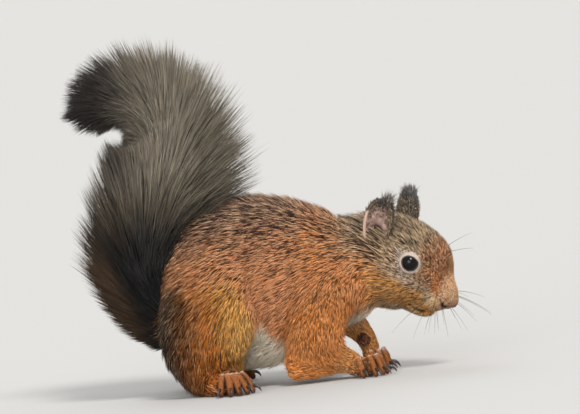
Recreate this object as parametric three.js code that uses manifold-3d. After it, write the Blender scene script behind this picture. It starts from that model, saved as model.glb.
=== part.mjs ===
// Red squirrel (Sciurus vulgaris), life size, crouching on all fours with its tail raised along the back.
//
// Millimetres, +Z up. +X runs to the head, +Y to the animal's left side. The origin lies on the floor under the
// middle of the animal's box. Every solid reaches out to the tips of the coat. Flesh is made of lofts: elliptical
// rings set square to a smooth line of stations. Where two lofts meet, the later one in the order is cut back by
// the earlier one grown by the gap, and the long lofts (trunk with head, tail) are parted by thin plane cuts.

import * as THREE from 'three';
import { mergeVertices } from 'three/addons/utils/BufferGeometryUtils.js';
import Module from 'manifold-3d';

const wasm = await Module();
wasm.setup();

// ---------------------------------------------------------------- driving dimensions
const GAP = 0.3;                // clearance between neighbouring solids
const RIGHT = -1;               // sign of Y on the animal's right side
const LEFT = 1;
const CUTTER_SIZE = 600;        // side of the box that stands for a half space
const BOX_MIDDLE_X = 1.8;       // the middle of the animal's box, in the frame that the stations are written in
const DOME_ANGLES = [35, 65];   // degrees at which a large loft's rounded end has extra rings
const SMALL_DOME = [50];        // the same for a small one

const HEAD_PITCH = 34;          // degrees that the head points down
const HEAD_YAW = 27;            // degrees that the head is turned to the right side
const HEAD_CENTRE = [64.9, -3.0, 51.3];

const EYE_RADIUS = 4.6;
const EYE_PLACE = { ahead: 10.1, side: 13.4, up: 6.9 };
const NOSE_PLACE = { ahead: 32.2, up: -1.0 };
const NOSE_HALVES = [3.6, 3.9, 3.4];

const CLAW_RADIUS = 0.85;
const CLAW_LENGTH = { hind: 5.2, fore: 5.6 };

// ---------------------------------------------------------------- colours
const COLOURS = {
  back: '#8a5a3f',
  flank: '#a5633c',
  thigh: '#9a5a2c',
  foreleg: '#c67831',
  feet: '#b5702f',
  head: '#7a6c58',
  ear: '#6b5f58',
  tail: '#5d544c',
  tail_tip: '#2a2628',
  nose: '#b58f78',
  eye: '#0b0908',
  claw: '#2a2a2e',
};

// ---------------------------------------------------------------- solids from rings
const Y_AXIS = new THREE.Vector3(0, 1, 0);

/** The closed solid of a BufferGeometry whose shared vertices may still be double. */
function solidOf(geometry) {
  const bare = geometry.clone();
  bare.deleteAttribute('normal');
  bare.deleteAttribute('uv');
  const merged = mergeVertices(bare, 1e-5);
  const mesh = new wasm.Mesh({
    numProp: 3,
    vertProperties: Float32Array.from(merged.attributes.position.array),
    triVerts: Uint32Array.from(merged.index.array),
  });
  return new wasm.Manifold(mesh);
}

/** Volume enclosed by an indexed list of points, negative where its faces point inwards. */
function signedVolume(points, index) {
  let six = 0;
  for (let i = 0; i < index.length; i += 3) {
    const [a, b, c] = [points[index[i]], points[index[i + 1]], points[index[i + 2]]];
    six += a.dot(new THREE.Vector3().crossVectors(b, c));
  }
  return six / 6;
}

/** One ring of a loft: an ellipse about `centre`, square to `along`, wider below where `egg` is above 0. */
function ring(centre, along, across, high, wide, egg, sides) {
  const side = across.clone().addScaledVector(along, -across.dot(along)).normalize();
  const up = new THREE.Vector3().crossVectors(along, side);
  const points = [];
  for (let i = 0; i < sides; i += 1) {
    const angle = (2 * Math.PI * i) / sides;
    const reach = wide * Math.cos(angle) * (1 - egg * Math.sin(angle));
    points.push(centre.clone().addScaledVector(side, reach).addScaledVector(up, high * Math.sin(angle)));
  }
  return points;
}

/**
 * A solid through `stations`, each [x, y, z, half height, half width, egg]. Centres and half sizes follow smooth
 * curves, and both ends are domes. `grow` makes it larger all round, for the clearance of a neighbour.
 */
function loft(stations, { across = Y_AXIS, sides = 16, steps = 1, dome = 0.8, domes = DOME_ANGLES, grow = 0 } = {}) {
  const line = new THREE.CatmullRomCurve3(stations.map((s) => new THREE.Vector3(s[0], s[1], s[2])));
  const size = new THREE.CatmullRomCurve3(stations.map((s) => new THREE.Vector3(s[3], s[4], s[5] ?? 0)));
  const rings = [];
  const addRing = (t, shift, shrink) => {
    const along = line.getTangent(t);
    const { x: high, y: wide, z: egg } = size.getPoint(t);
    const centre = line.getPoint(t).addScaledVector(along, shift);
    rings.push(ring(centre, along, across, (high + grow) * shrink, (wide + grow) * shrink, egg, sides));
  };
  const domeLength = (t) => {
    const half = size.getPoint(t);
    return dome * (Math.min(half.x, half.y) + grow);
  };
  const addDome = (t, sign) => {
    for (const angle of sign < 0 ? [...domes].reverse() : domes) {
      const turn = THREE.MathUtils.degToRad(angle);
      addRing(t, sign * domeLength(t) * Math.sin(turn), Math.cos(turn));
    }
  };
  addDome(0, -1);
  const spans = (stations.length - 1) * steps;
  for (let i = 0; i <= spans; i += 1) addRing(i / spans, 0, 1);
  addDome(1, 1);

  const points = rings.flat();
  const index = [];
  for (let r = 0; r + 1 < rings.length; r += 1) {
    for (let i = 0; i < sides; i += 1) {
      const [a, b] = [r * sides + i, r * sides + ((i + 1) % sides)];
      index.push(a, b, b + sides, a, b + sides, a + sides);
    }
  }
  const last = (rings.length - 1) * sides;
  const poles = [0, 1].map((t) => {
    const sign = t === 0 ? -1 : 1;
    return line.getPoint(t).addScaledVector(line.getTangent(t), sign * domeLength(t));
  });
  points.push(...poles);
  for (let i = 0; i < sides; i += 1) {
    const next = (i + 1) % sides;
    index.push(next, i, points.length - 2);
    index.push(last + i, last + next, points.length - 1);
  }
  if (signedVolume(points, index) < 0) index.reverse();
  const geometry = new THREE.BufferGeometry().setFromPoints(points);
  geometry.setIndex(index);
  return solidOf(geometry);
}

/** An ellipsoid, `grow` larger all round. */
function ellipsoid(centre, halves, turn, grow = 0) {
  const geometry = new THREE.SphereGeometry(1, 10, 7);
  geometry.scale(halves[0] + grow, halves[1] + grow, halves[2] + grow);
  geometry.applyMatrix4(turn);
  geometry.translate(...centre);
  return solidOf(geometry);
}

/** The half space on the side of `normal` of the plane through `point`, as a large box. */
function halfSpace(point, normal) {
  const box = new THREE.BoxGeometry(CUTTER_SIZE, CUTTER_SIZE, CUTTER_SIZE);
  const unit = normal.clone().normalize();
  box.translate(0, 0, CUTTER_SIZE / 2);
  box.applyQuaternion(new THREE.Quaternion().setFromUnitVectors(new THREE.Vector3(0, 0, 1), unit));
  box.translate(point.x, point.y, point.z);
  return solidOf(box);
}

/** Parts a solid by planes, given in order as {point, normal}, with the gap left open at each. */
function part(solid, planes) {
  const pieces = [];
  let rest = solid;
  for (const { point, normal } of planes) {
    const unit = normal.clone().normalize();
    const near = point.clone().addScaledVector(unit, -GAP / 2);
    const far = point.clone().addScaledVector(unit, GAP / 2);
    pieces.push(rest.intersect(halfSpace(near, unit.clone().negate())));
    rest = rest.intersect(halfSpace(far, unit));
  }
  pieces.push(rest);
  return pieces;
}

/** The largest body of a solid that a cut may have left in several. */
function largest(solid) {
  const bodies = solid.decompose();
  return bodies.reduce((best, body) => (body.volume() > best.volume() ? body : best));
}

// ---------------------------------------------------------------- head frame
const pitch = THREE.MathUtils.degToRad(HEAD_PITCH);
const yaw = THREE.MathUtils.degToRad(HEAD_YAW);
const AHEAD = new THREE.Vector3(
  Math.cos(pitch) * Math.cos(yaw),
  -Math.cos(pitch) * Math.sin(yaw),
  -Math.sin(pitch),
);
const TO_LEFT = new THREE.Vector3(Math.sin(yaw), Math.cos(yaw), 0);
const UP = new THREE.Vector3().crossVectors(AHEAD, TO_LEFT);
const HEAD_TURN = new THREE.Matrix4().makeBasis(AHEAD, TO_LEFT, UP);

/** The place of a point given by its distances ahead of, left of and above the middle of the head. */
function inHead(ahead, left, up) {
  return new THREE.Vector3(...HEAD_CENTRE)
    .addScaledVector(AHEAD, ahead)
    .addScaledVector(TO_LEFT, left)
    .addScaledVector(UP, up);
}

/** A station in the head frame: [ahead, up, half height, half width, egg], in the head's middle plane. */
function headStation([ahead, up, high, wide, egg]) {
  const place = inHead(ahead, 0, up);
  return [place.x, place.y, place.z, high, wide, egg];
}

const HEAD_STATIONS = [
  [-20, -1.6, 17.6, 16, 0.05],
  [-13, -1.3, 21.3, 17.6, 0.1],
  [-4, -0.3, 22.7, 18.2, 0.12],
  [4, 0.2, 23.0, 17.6, 0.1],
  [11, 0.3, 21.4, 16.2, 0.04],
  [17, -0.9, 18.1, 14.0, 0],
  [22.5, -2.0, 13.8, 11.0, 0],
  [27.0, -2.4, 9.8, 8.0, 0],
  [30.2, -2.2, 6.8, 6.0, 0],
  [32.0, -1.8, 4.6, 4.4, 0],
].map(headStation);

// Ear rows: ahead, out to the side, up, half thickness, half width, from the root to the tip of the tuft.
const EAR_ROWS = [
  [-10, 12.5, 5, 3.2, 6.0],
  [-11.3, 14.8, 11, 3.6, 7.2],
  [-12.8, 16.0, 17.5, 3.0, 7.2],
  [-14.3, 16.2, 23.5, 2.0, 5.2],
  [-15.8, 16.2, 28.5, 1.3, 2.6],
];
const EAR_CUP = { place: [-11.5, 18.6, 14], halves: [4.8, 3.0, 6.4] };

// ---------------------------------------------------------------- trunk and tail
// Each row: x, z, half height, half width, at y = 0.
const TRUNK_STATIONS = [
  [-48.5, 37.0, 15, 14],
  [-40, 39.9, 28.5, 24],
  [-29.8, 43.1, 37.0, 29],
  [-16.7, 47.8, 41.8, 31],
  [-1.8, 50.9, 42.3, 31],
  [11.8, 52.0, 38.0, 29.5],
  [23.8, 51.6, 32.7, 27],
  [35.8, 50.7, 27.3, 24],
  [46, 52.6, 24.0, 20.5],
  [55, 52.6, 21.8, 18.5],
].map(([x, z, high, wide]) => [x, 0, z, high, wide, 0.04]);

const TAIL_STATIONS = [
  [-49.5, 26, 8, 8],
  [-57.5, 39.5, 15, 13],
  [-63.0, 55.0, 20.5, 17],
  [-62.5, 70.5, 26.5, 20],
  [-55.0, 86.0, 31.5, 22],
  [-43.5, 100.5, 35, 22.5],
  [-35.5, 116.0, 36, 22.5],
  [-35.0, 130.0, 33.5, 21.5],
  [-41.5, 140.5, 29.5, 20],
  [-52.5, 147.5, 24.5, 18],
  [-64.5, 148.5, 19.5, 16],
  [-73.5, 143.5, 15, 13],
  [-79, 136.5, 9, 9],
].map(([x, z, high, wide]) => [x, 0, z, high, wide]);

// ---------------------------------------------------------------- legs
/** Stations mirrored to one side: y is given as a distance from the middle plane. */
function onSide(side, stations) {
  return stations.map(([x, y, z, ...sizes]) => [x, side * y, z, ...sizes]);
}

const THIGH_STATIONS = [
  [-21, 19, 64, 8, 9],
  [-24, 22, 55, 17.5, 13],
  [-28, 23.5, 45, 22, 15],
  [-30, 24, 33, 23.4, 15.2],
  [-31.2, 24, 23, 22.0, 14.2],
  [-29.5, 22.5, 15, 18.0, 12.4],
  [-26.5, 20.5, 10.5, 12.5, 9],
];

const HIND_FOOT_STATIONS = [
  [-39, 9, 4.3, 4.6, 5.0],
  [-34, 18, 4.6, 5.0, 6.0],
  [-28, 28, 4.6, 5.0, 7.6],
  [-22.5, 35.5, 4.3, 4.6, 8.6],
];

// Toes spread from the ball of the foot. A toe's tip is given in plan, y being a distance outwards, and its
// reach is its length in plan.
const HIND_BALL = new THREE.Vector2(-24, 34);
const HIND_TOES = [
  { name: 'toe5', tip: [-27.2, 43.5], reach: 9.5 },
  { name: 'toe4', tip: [-22.4, 46.5], reach: 12 },
  { name: 'toe3', tip: [-18.2, 46.5], reach: 12 },
  { name: 'toe2', tip: [-14.6, 45.0], reach: 11 },
  { name: 'toe1', tip: [-12.0, 39.5], reach: 8 },
];

const FORE_LIMBS = {
  right: {
    side: RIGHT,
    upper: [
      [31, 14, 52, 11, 9],
      [28, 18, 43, 14.5, 11.5],
      [23.5, 20.5, 32, 13.5, 11.5],
      [20, 22, 22, 13.5, 10],
      [19, 22.5, 15, 12.5, 8.5],
    ],
    lower: [
      [9.5, 22.5, 8.5, 7, 6.6],
      [15, 22.6, 10, 8.4, 7.0],
      [23, 22.2, 11, 8.6, 6.6],
      [31, 21.4, 10, 7, 5.8],
      [35.8, 20.8, 8.6, 5.2, 4.9],
    ],
    palm: [
      [36, 20.6, 6.0, 4.6, 5.2],
      [40, 20.8, 5.0, 5.0, 6.4],
      [44, 21.4, 4.4, 4.8, 6.4],
    ],
    fingers: [
      { name: 'finger5', from: [38.0, 24.5], tip: [41.0, 31.0] },
      { name: 'finger4', from: [43.0, 23.5], tip: [47.0, 30.0] },
      { name: 'finger3', from: [45.5, 22.0], tip: [50.5, 26.0] },
      { name: 'finger2', from: [45.5, 19.0], tip: [52.5, 20.5] },
    ],
  },
  left: {
    side: LEFT,
    upper: [
      [31, 14, 52, 11, 9],
      [30, 17, 44, 13, 10.5],
      [29.5, 18, 36, 11.5, 10],
      [29.5, 17.5, 29, 9, 8.5],
    ],
    lower: [
      [29, 16, 29.5, 7.5, 7.5],
      [34.5, 13.5, 27, 7.8, 7],
      [40, 11, 22.5, 6.6, 6],
      [44.4, 9.5, 16.5, 5.2, 5],
      [46.2, 8.5, 11.5, 4.6, 4.6],
    ],
    palm: [
      [46.2, 8.0, 7.2, 4.2, 4.8],
      [47.2, 5.6, 5.2, 4.8, 5.6],
      [48.4, 3.0, 4.4, 4.8, 5.6],
    ],
    fingers: [
      { name: 'finger5', from: [50.6, 6.5], tip: [55.0, 5.5] },
      { name: 'finger4', from: [50.6, 3.0], tip: [54.0, 0.5] },
      { name: 'finger3', from: [48.6, 0.8], tip: [51.0, -3.0] },
      { name: 'finger2', from: [45.6, 1.2], tip: [46.4, -3.4] },
    ],
  },
};

// ---------------------------------------------------------------- digits and claws
const DIGIT_RADIUS = { hind: 2.2, fore: 1.9 };
const DIGIT_ROOT_HEIGHT = 6.4;
const DIGIT_KNUCKLE_HEIGHT = 9.2;
const DIGIT_TIP_LIFT = 0.68;     // height of a tip's middle as a share of its radius, which leaves a small flat

/** A bent digit from `from` to `tip` (plan coordinates), with its knuckle raised between them. */
function digitStations(from, tip, radius) {
  const at = (t, z, r) => [
    THREE.MathUtils.lerp(from[0], tip[0], t),
    THREE.MathUtils.lerp(from[1], tip[1], t),
    z,
    r,
    r,
  ];
  return [
    at(0, DIGIT_ROOT_HEIGHT, radius * 0.95),
    at(0.42, DIGIT_KNUCKLE_HEIGHT, radius * 1.05),
    at(0.78, DIGIT_KNUCKLE_HEIGHT * 0.62, radius),
    at(1, radius * DIGIT_TIP_LIFT, radius),
  ];
}

/** A claw that starts just clear of a digit's rounded tip and curves down to just above the floor. */
function clawStations(from, tip, length) {
  const run = new THREE.Vector2(tip[0] - from[0], tip[1] - from[1]).normalize();
  const at = (share, z, r) => [tip[0] + run.x * length * share, tip[1] + run.y * length * share, z, r, r];
  return [
    at(0.36, 4.3, CLAW_RADIUS),
    at(0.5, 4.15, CLAW_RADIUS * 0.9),
    at(0.75, 2.9, CLAW_RADIUS * 0.65),
    at(0.9, 1.0, CLAW_RADIUS * 0.3),
  ];
}

// ---------------------------------------------------------------- the list of flesh and hard pieces
const materials = Object.fromEntries(
  Object.entries(COLOURS).map(([name, colour]) => {
    const roughness = name === 'eye' ? 0.05 : name === 'claw' ? 0.35 : 0.9;
    return [name, new THREE.MeshStandardMaterial({ color: colour, roughness, metalness: 0 })];
  }),
);

const pieces = [];

/** Adds a piece: `make(grow)` gives its raw solid, and `grow` is above 0 for its neighbours' clearance. */
function add(name, colour, make) {
  pieces.push({ name, colour, raw: make(0), grown: make(GAP) });
}

for (const [word, side] of [['right', RIGHT], ['left', LEFT]]) {
  const centre = inHead(EYE_PLACE.ahead, side * EYE_PLACE.side, EYE_PLACE.up).toArray();
  const round = [EYE_RADIUS, EYE_RADIUS, EYE_RADIUS];
  add(`eye_${word}`, 'eye', (grow) => ellipsoid(centre, round, HEAD_TURN, grow));
}

{
  const centre = inHead(NOSE_PLACE.ahead, 0, NOSE_PLACE.up).toArray();
  add('nose_pad', 'nose', (grow) => ellipsoid(centre, NOSE_HALVES, HEAD_TURN, grow));
}

for (const [word, side] of [['right', RIGHT], ['left', LEFT]]) {
  const stations = EAR_ROWS.map(([ahead, out, up, thick, wide]) => [
    ...inHead(ahead, side * out, up).toArray(),
    thick,
    wide,
  ]);
  const [ahead, out, up] = EAR_CUP.place;
  const cup = ellipsoid(inHead(ahead, side * out, up).toArray(), EAR_CUP.halves, HEAD_TURN);
  add(`ear_${word}`, 'ear', (grow) => {
    const plate = loft(stations, { across: AHEAD, sides: 10, dome: 0.5, domes: SMALL_DOME, grow });
    return grow > 0 ? plate : plate.subtract(cup);
  });
}

/** A foot with its digits in one solid, then a claw for each digit, cut back from the foot. */
function addFoot(name, base, digits, radius, clawLength) {
  const digitLofts = digits.map(({ from, tip }) => digitStations(from, tip, radius));
  add(name, 'feet', (grow) => digitLofts
    .map((stations) => loft(stations, { sides: 6, domes: SMALL_DOME, grow }))
    .reduce((all, digit) => all.add(digit), loft(base, { sides: 8, domes: SMALL_DOME, grow })));
  for (const { claw, from, tip } of digits) {
    const stations = clawStations(from, tip, clawLength);
    add(claw, 'claw', (grow) => loft(stations, { sides: 5, domes: [], grow }));
  }
}

for (const [word, side] of [['right', RIGHT], ['left', LEFT]]) {
  const digits = HIND_TOES.map(({ name, tip, reach }) => {
    const end = new THREE.Vector2(...tip);
    const from = end.clone().addScaledVector(HIND_BALL.clone().sub(end).normalize(), reach);
    return { claw: `claw_hind_${word}_${name}`, from: [from.x, side * from.y], tip: [tip[0], side * tip[1]] };
  });
  addFoot(`hind_foot_${word}`, onSide(side, HIND_FOOT_STATIONS), digits, DIGIT_RADIUS.hind, CLAW_LENGTH.hind);
}

for (const [word, limb] of Object.entries(FORE_LIMBS)) {
  const digits = limb.fingers.map(({ name, from, tip }) => ({
    claw: `claw_fore_${word}_${name}`,
    from: [from[0], limb.side * from[1]],
    tip: [tip[0], limb.side * tip[1]],
  }));
  addFoot(`fore_foot_${word}`, onSide(limb.side, limb.palm), digits, DIGIT_RADIUS.fore, CLAW_LENGTH.fore);
  const lower = onSide(limb.side, limb.lower);
  add(`forearm_${word}`, 'foreleg', (grow) => loft(lower, { sides: 10, domes: SMALL_DOME, grow }));
  const upper = onSide(limb.side, limb.upper);
  add(`upper_arm_${word}`, 'foreleg', (grow) => loft(upper, { sides: 10, domes: SMALL_DOME, grow }));
}

for (const [word, side] of [['right', RIGHT], ['left', LEFT]]) {
  const thigh = onSide(side, THIGH_STATIONS);
  add(`thigh_${word}`, 'thigh', (grow) => loft(thigh, { sides: 16, domes: SMALL_DOME, grow }));
}

// ---------------------------------------------------------------- trunk with head, and tail, parted by planes
const along = (stations, t) => {
  const line = new THREE.CatmullRomCurve3(stations.map((s) => new THREE.Vector3(s[0], s[1], s[2])));
  return { point: line.getPoint(t), normal: line.getTangent(t) };
};

const headSolid = (grow) => loft(HEAD_STATIONS, { across: TO_LEFT, sides: 20, grow });
const trunkSolid = (grow) => loft(TRUNK_STATIONS, { sides: 16, dome: 0.5, domes: SMALL_DOME, grow });
const tailSolid = loft(TAIL_STATIONS, { sides: 16 });

const FLOOR = halfSpace(new THREE.Vector3(0, 0, 0), new THREE.Vector3(0, 0, 1));

/** Cuts a solid back from every piece already listed. */
function clearOf(solid, others) {
  return others.reduce((rest, other) => rest.subtract(other), solid);
}

const group = new THREE.Group();

/** Puts a solid in the scene as a named mesh. */
function show(name, colour, solid) {
  const mesh = largest(solid.intersect(FLOOR)).getMesh();
  const geometry = new THREE.BufferGeometry();
  geometry.setAttribute('position', new THREE.BufferAttribute(Float32Array.from(mesh.vertProperties), 3));
  geometry.setIndex(new THREE.BufferAttribute(Uint32Array.from(mesh.triVerts), 1));
  geometry.computeVertexNormals();
  const node = new THREE.Mesh(geometry, materials[colour]);
  node.name = name;
  group.add(node);
}

pieces.forEach(({ name, colour, raw }, i) => {
  show(name, colour, clearOf(raw, pieces.slice(0, i).map((other) => other.grown)));
});

const grownPieces = pieces.map((piece) => piece.grown);
const body = clearOf(trunkSolid(0).add(headSolid(0)), grownPieces);
const NECK_CUT = { point: inHead(-15, 0, 0), normal: new THREE.Vector3(0.93, -0.25, -0.2) };
const bodyCuts = [along(TRUNK_STATIONS, 0.36), along(TRUNK_STATIONS, 0.62), along(TRUNK_STATIONS, 0.84), NECK_CUT];
const bodyNames = [['rump', 'back'], ['loin', 'flank'], ['chest', 'flank'], ['neck', 'back'], ['head', 'head']];
part(body, bodyCuts).forEach((solid, i) => show(...bodyNames[i], solid));

const TAIL_CUTS = [0.2, 0.36, 0.5, 0.64, 0.8];
const tail = clearOf(tailSolid, [...grownPieces, trunkSolid(GAP)]);
const tailCuts = TAIL_CUTS.map((t) => along(TAIL_STATIONS, t));
const tailNames = ['tail_base', 'tail_lower', 'tail_middle', 'tail_upper', 'tail_bend', 'tail_tip'];
part(tail, tailCuts).forEach((solid, i) => {
  show(tailNames[i], i === TAIL_CUTS.length ? 'tail_tip' : 'tail', solid);
});

group.position.x = -BOX_MIDDLE_X;

export default group;
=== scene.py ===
"""
Red squirrel (Sciurus vulgaris), life size: skin, a coat of mesh tufts, eyes, ears, nose, claws and whiskers.

Lengths are in millimetres while shapes are worked out, and become metres when a mesh is made. +X runs to
the head, +Y to the animal's left side, +Z up. The flesh is one smooth field: each limb is a chain of tapered
tubes of elliptical section, and a soft minimum joins the chains. The skin is the field's zero surface. Every
hair tuft is a thin closed spike whose spine follows the skin at a chosen height, along the lie of the coat.
"""
import math

import bpy
import numpy as np
from mathutils import Matrix, Vector


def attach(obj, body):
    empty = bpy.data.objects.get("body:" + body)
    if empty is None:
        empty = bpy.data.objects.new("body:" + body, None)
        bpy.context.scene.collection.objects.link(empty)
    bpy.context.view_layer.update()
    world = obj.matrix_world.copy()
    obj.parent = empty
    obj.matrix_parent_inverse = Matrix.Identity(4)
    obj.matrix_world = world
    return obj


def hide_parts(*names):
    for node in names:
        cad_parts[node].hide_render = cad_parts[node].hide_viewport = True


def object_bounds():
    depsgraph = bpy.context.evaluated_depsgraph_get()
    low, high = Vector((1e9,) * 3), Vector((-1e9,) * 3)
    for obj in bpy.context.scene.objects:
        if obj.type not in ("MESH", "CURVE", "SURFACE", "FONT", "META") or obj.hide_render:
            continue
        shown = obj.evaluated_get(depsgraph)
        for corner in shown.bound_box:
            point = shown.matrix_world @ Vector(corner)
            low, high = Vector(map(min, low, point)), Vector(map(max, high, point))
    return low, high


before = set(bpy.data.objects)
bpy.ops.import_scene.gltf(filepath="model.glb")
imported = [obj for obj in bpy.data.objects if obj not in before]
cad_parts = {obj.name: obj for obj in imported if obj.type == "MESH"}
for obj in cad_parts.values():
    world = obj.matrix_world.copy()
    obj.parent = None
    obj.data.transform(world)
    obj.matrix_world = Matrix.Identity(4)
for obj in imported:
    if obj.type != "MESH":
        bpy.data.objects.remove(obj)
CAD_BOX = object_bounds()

MM = 0.001
UP_AXIS = np.array([0.0, 0.0, 1.0])
ACROSS_AXIS = np.array([0.0, 1.0, 0.0])
RIGHT, LEFT = -1, 1
SIDES = (("right", RIGHT), ("left", LEFT))

# ------------------------------------------------------------------ driving sizes, in millimetres
BOX_MIDDLE_X = 1.8            # the stations below are written this far ahead of the frame's origin
GRID_STEP = 0.75
FIELD_REACH = 12.0            # how far from the skin the field is still worked out
FAR = 30.0                    # value of the field beyond that reach

HEAD_PITCH = math.radians(34)
HEAD_YAW = math.radians(27)
HEAD_CENTRE = np.array([64.9 - BOX_MIDDLE_X, -3.0, 51.3])
EYE_RADIUS = 4.6
EYE_PLACE = np.array([9.5, 13.4, 7.0])     # ahead, out, up
EYE_AXIS = np.array([0.34, 0.93, 0.12])     # the way the eye looks: ahead, out, up
EYE_OPENING = (3.75, 3.35)                  # half length and half height between the lids

AHEAD = np.array([
    math.cos(HEAD_PITCH) * math.cos(HEAD_YAW),
    -math.cos(HEAD_PITCH) * math.sin(HEAD_YAW),
    -math.sin(HEAD_PITCH),
])
TO_LEFT = np.array([math.sin(HEAD_YAW), math.cos(HEAD_YAW), 0.0])
HEAD_UP = np.cross(AHEAD, TO_LEFT)
HEAD_AXES = np.stack([AHEAD, TO_LEFT, HEAD_UP])


def in_head(ahead, left, up):
    """Part-frame place of a point given in the head's frame."""
    return HEAD_CENTRE + ahead * AHEAD + left * TO_LEFT + up * HEAD_UP


def to_head(points):
    """Distances ahead, left and up of points, measured from the middle of the head."""
    return (points - HEAD_CENTRE) @ HEAD_AXES.T


# Rows of a chain: x, y, z, half height, half width, coat depth. The half sizes reach the tips of the coat.
HEAD_ROWS = [
    [-20, -1.6, 17.6, 16, 3.6],
    [-13, -1.3, 21.3, 17.6, 3.0],
    [-4, -0.3, 22.7, 18.2, 2.4],
    [4, 0.2, 23.0, 17.6, 2.0],
    [11, 0.3, 21.4, 16.2, 1.7],
    [17, -0.9, 18.1, 14.0, 1.4],
    [22.5, -2.0, 13.6, 11.0, 1.1],
    [27.0, -2.4, 9.6, 8.2, 0.8],
    [30.2, -2.6, 7.0, 6.1, 0.5],
    [32.6, -3.0, 4.4, 4.0, 0.4],
]
TRUNK_ROWS = [
    [-48.5, 0, 37.0, 15, 14, 5.0],
    [-40, 0, 39.9, 28.5, 24, 5.0],
    [-29.8, 0, 43.1, 37.0, 29, 5.0],
    [-16.7, 0, 47.8, 41.8, 31, 5.0],
    [-1.8, 0, 50.9, 42.3, 31, 5.0],
    [11.8, 0, 52.0, 38.0, 29.5, 5.0],
    [23.8, 0, 51.6, 32.7, 27, 4.8],
    [35.8, 0, 50.7, 27.3, 24, 4.6],
    [46, 0, 52.6, 24.0, 20.5, 4.4],
    [55, 0, 52.6, 21.8, 18.5, 4.2],
]
PLUME_ROWS = [
    [-49.5, 0, 26, 8, 8],
    [-57.5, 0, 39.5, 15, 13],
    [-63.0, 0, 55.0, 20.5, 17],
    [-62.5, 0, 70.5, 26.5, 20],
    [-55.0, 0, 86.0, 31.5, 22],
    [-43.5, 0, 100.5, 35, 22.5],
    [-35.5, 0, 116.0, 36, 22.5],
    [-35.0, 0, 130.0, 33.5, 21.5],
    [-41.5, 0, 140.5, 29.5, 20],
    [-52.5, 0, 147.5, 24.5, 18],
    [-64.5, 0, 148.5, 19.5, 16],
    [-73.5, 0, 143.5, 15, 13],
    [-79, 0, 136.5, 9, 9],
]
TAIL_CORE_ROWS = [
    [-40.0, 0, 26.0, 6.0, 6.0, 0],
    [-50.0, 0, 29.0, 5.0, 5.0, 0],
    [-57.5, 0, 42.0, 4.2, 4.2, 0],
    [-58.5, 0, 57.0, 3.9, 3.9, 0],
    [-55.0, 0, 73.0, 3.7, 3.7, 0],
    [-49.0, 0, 89.0, 3.5, 3.5, 0],
    [-43.0, 0, 104.0, 3.3, 3.3, 0],
    [-38.5, 0, 119.0, 3.1, 3.1, 0],
    [-39.0, 0, 129.0, 3.0, 3.0, 0],
    [-43.0, 0, 136.0, 2.9, 2.9, 0],
    [-52.0, 0, 143.5, 2.6, 2.6, 0],
    [-62.0, 0, 144.5, 2.3, 2.3, 0],
    [-70.0, 0, 140.5, 1.9, 1.9, 0],
]
THIGH_ROWS = [
    [-21, 19, 64, 8, 9, 4.5],
    [-24, 22, 55, 17.5, 13, 4.6],
    [-28, 23.5, 45, 22, 15, 4.6],
    [-30, 24, 33, 23.4, 15.2, 4.6],
    [-31.2, 24, 23, 22.0, 14.2, 4.4],
    [-29.5, 22.5, 15, 18.0, 12.4, 3.6],
    [-26.5, 20.5, 10.5, 12.5, 9, 2.6],
]
HIND_FOOT_ROWS = [
    [-39, 9, 4.3, 4.6, 5.0, 0.5],
    [-34, 18, 4.6, 5.0, 6.0, 0.7],
    [-28, 28, 4.4, 4.6, 7.4, 0.7],
    [-23.5, 34, 3.8, 3.8, 7.6, 0.6],
]
HIND_BALL = np.array([-24.0, 34.0])
HIND_TOES = [
    {"tip": (-27.2, 43.5), "reach": 9.5},
    {"tip": (-22.4, 46.5), "reach": 12.0},
    {"tip": (-18.2, 46.5), "reach": 12.0},
    {"tip": (-14.6, 45.0), "reach": 11.0},
    {"tip": (-12.0, 39.5), "reach": 8.0},
]
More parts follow.
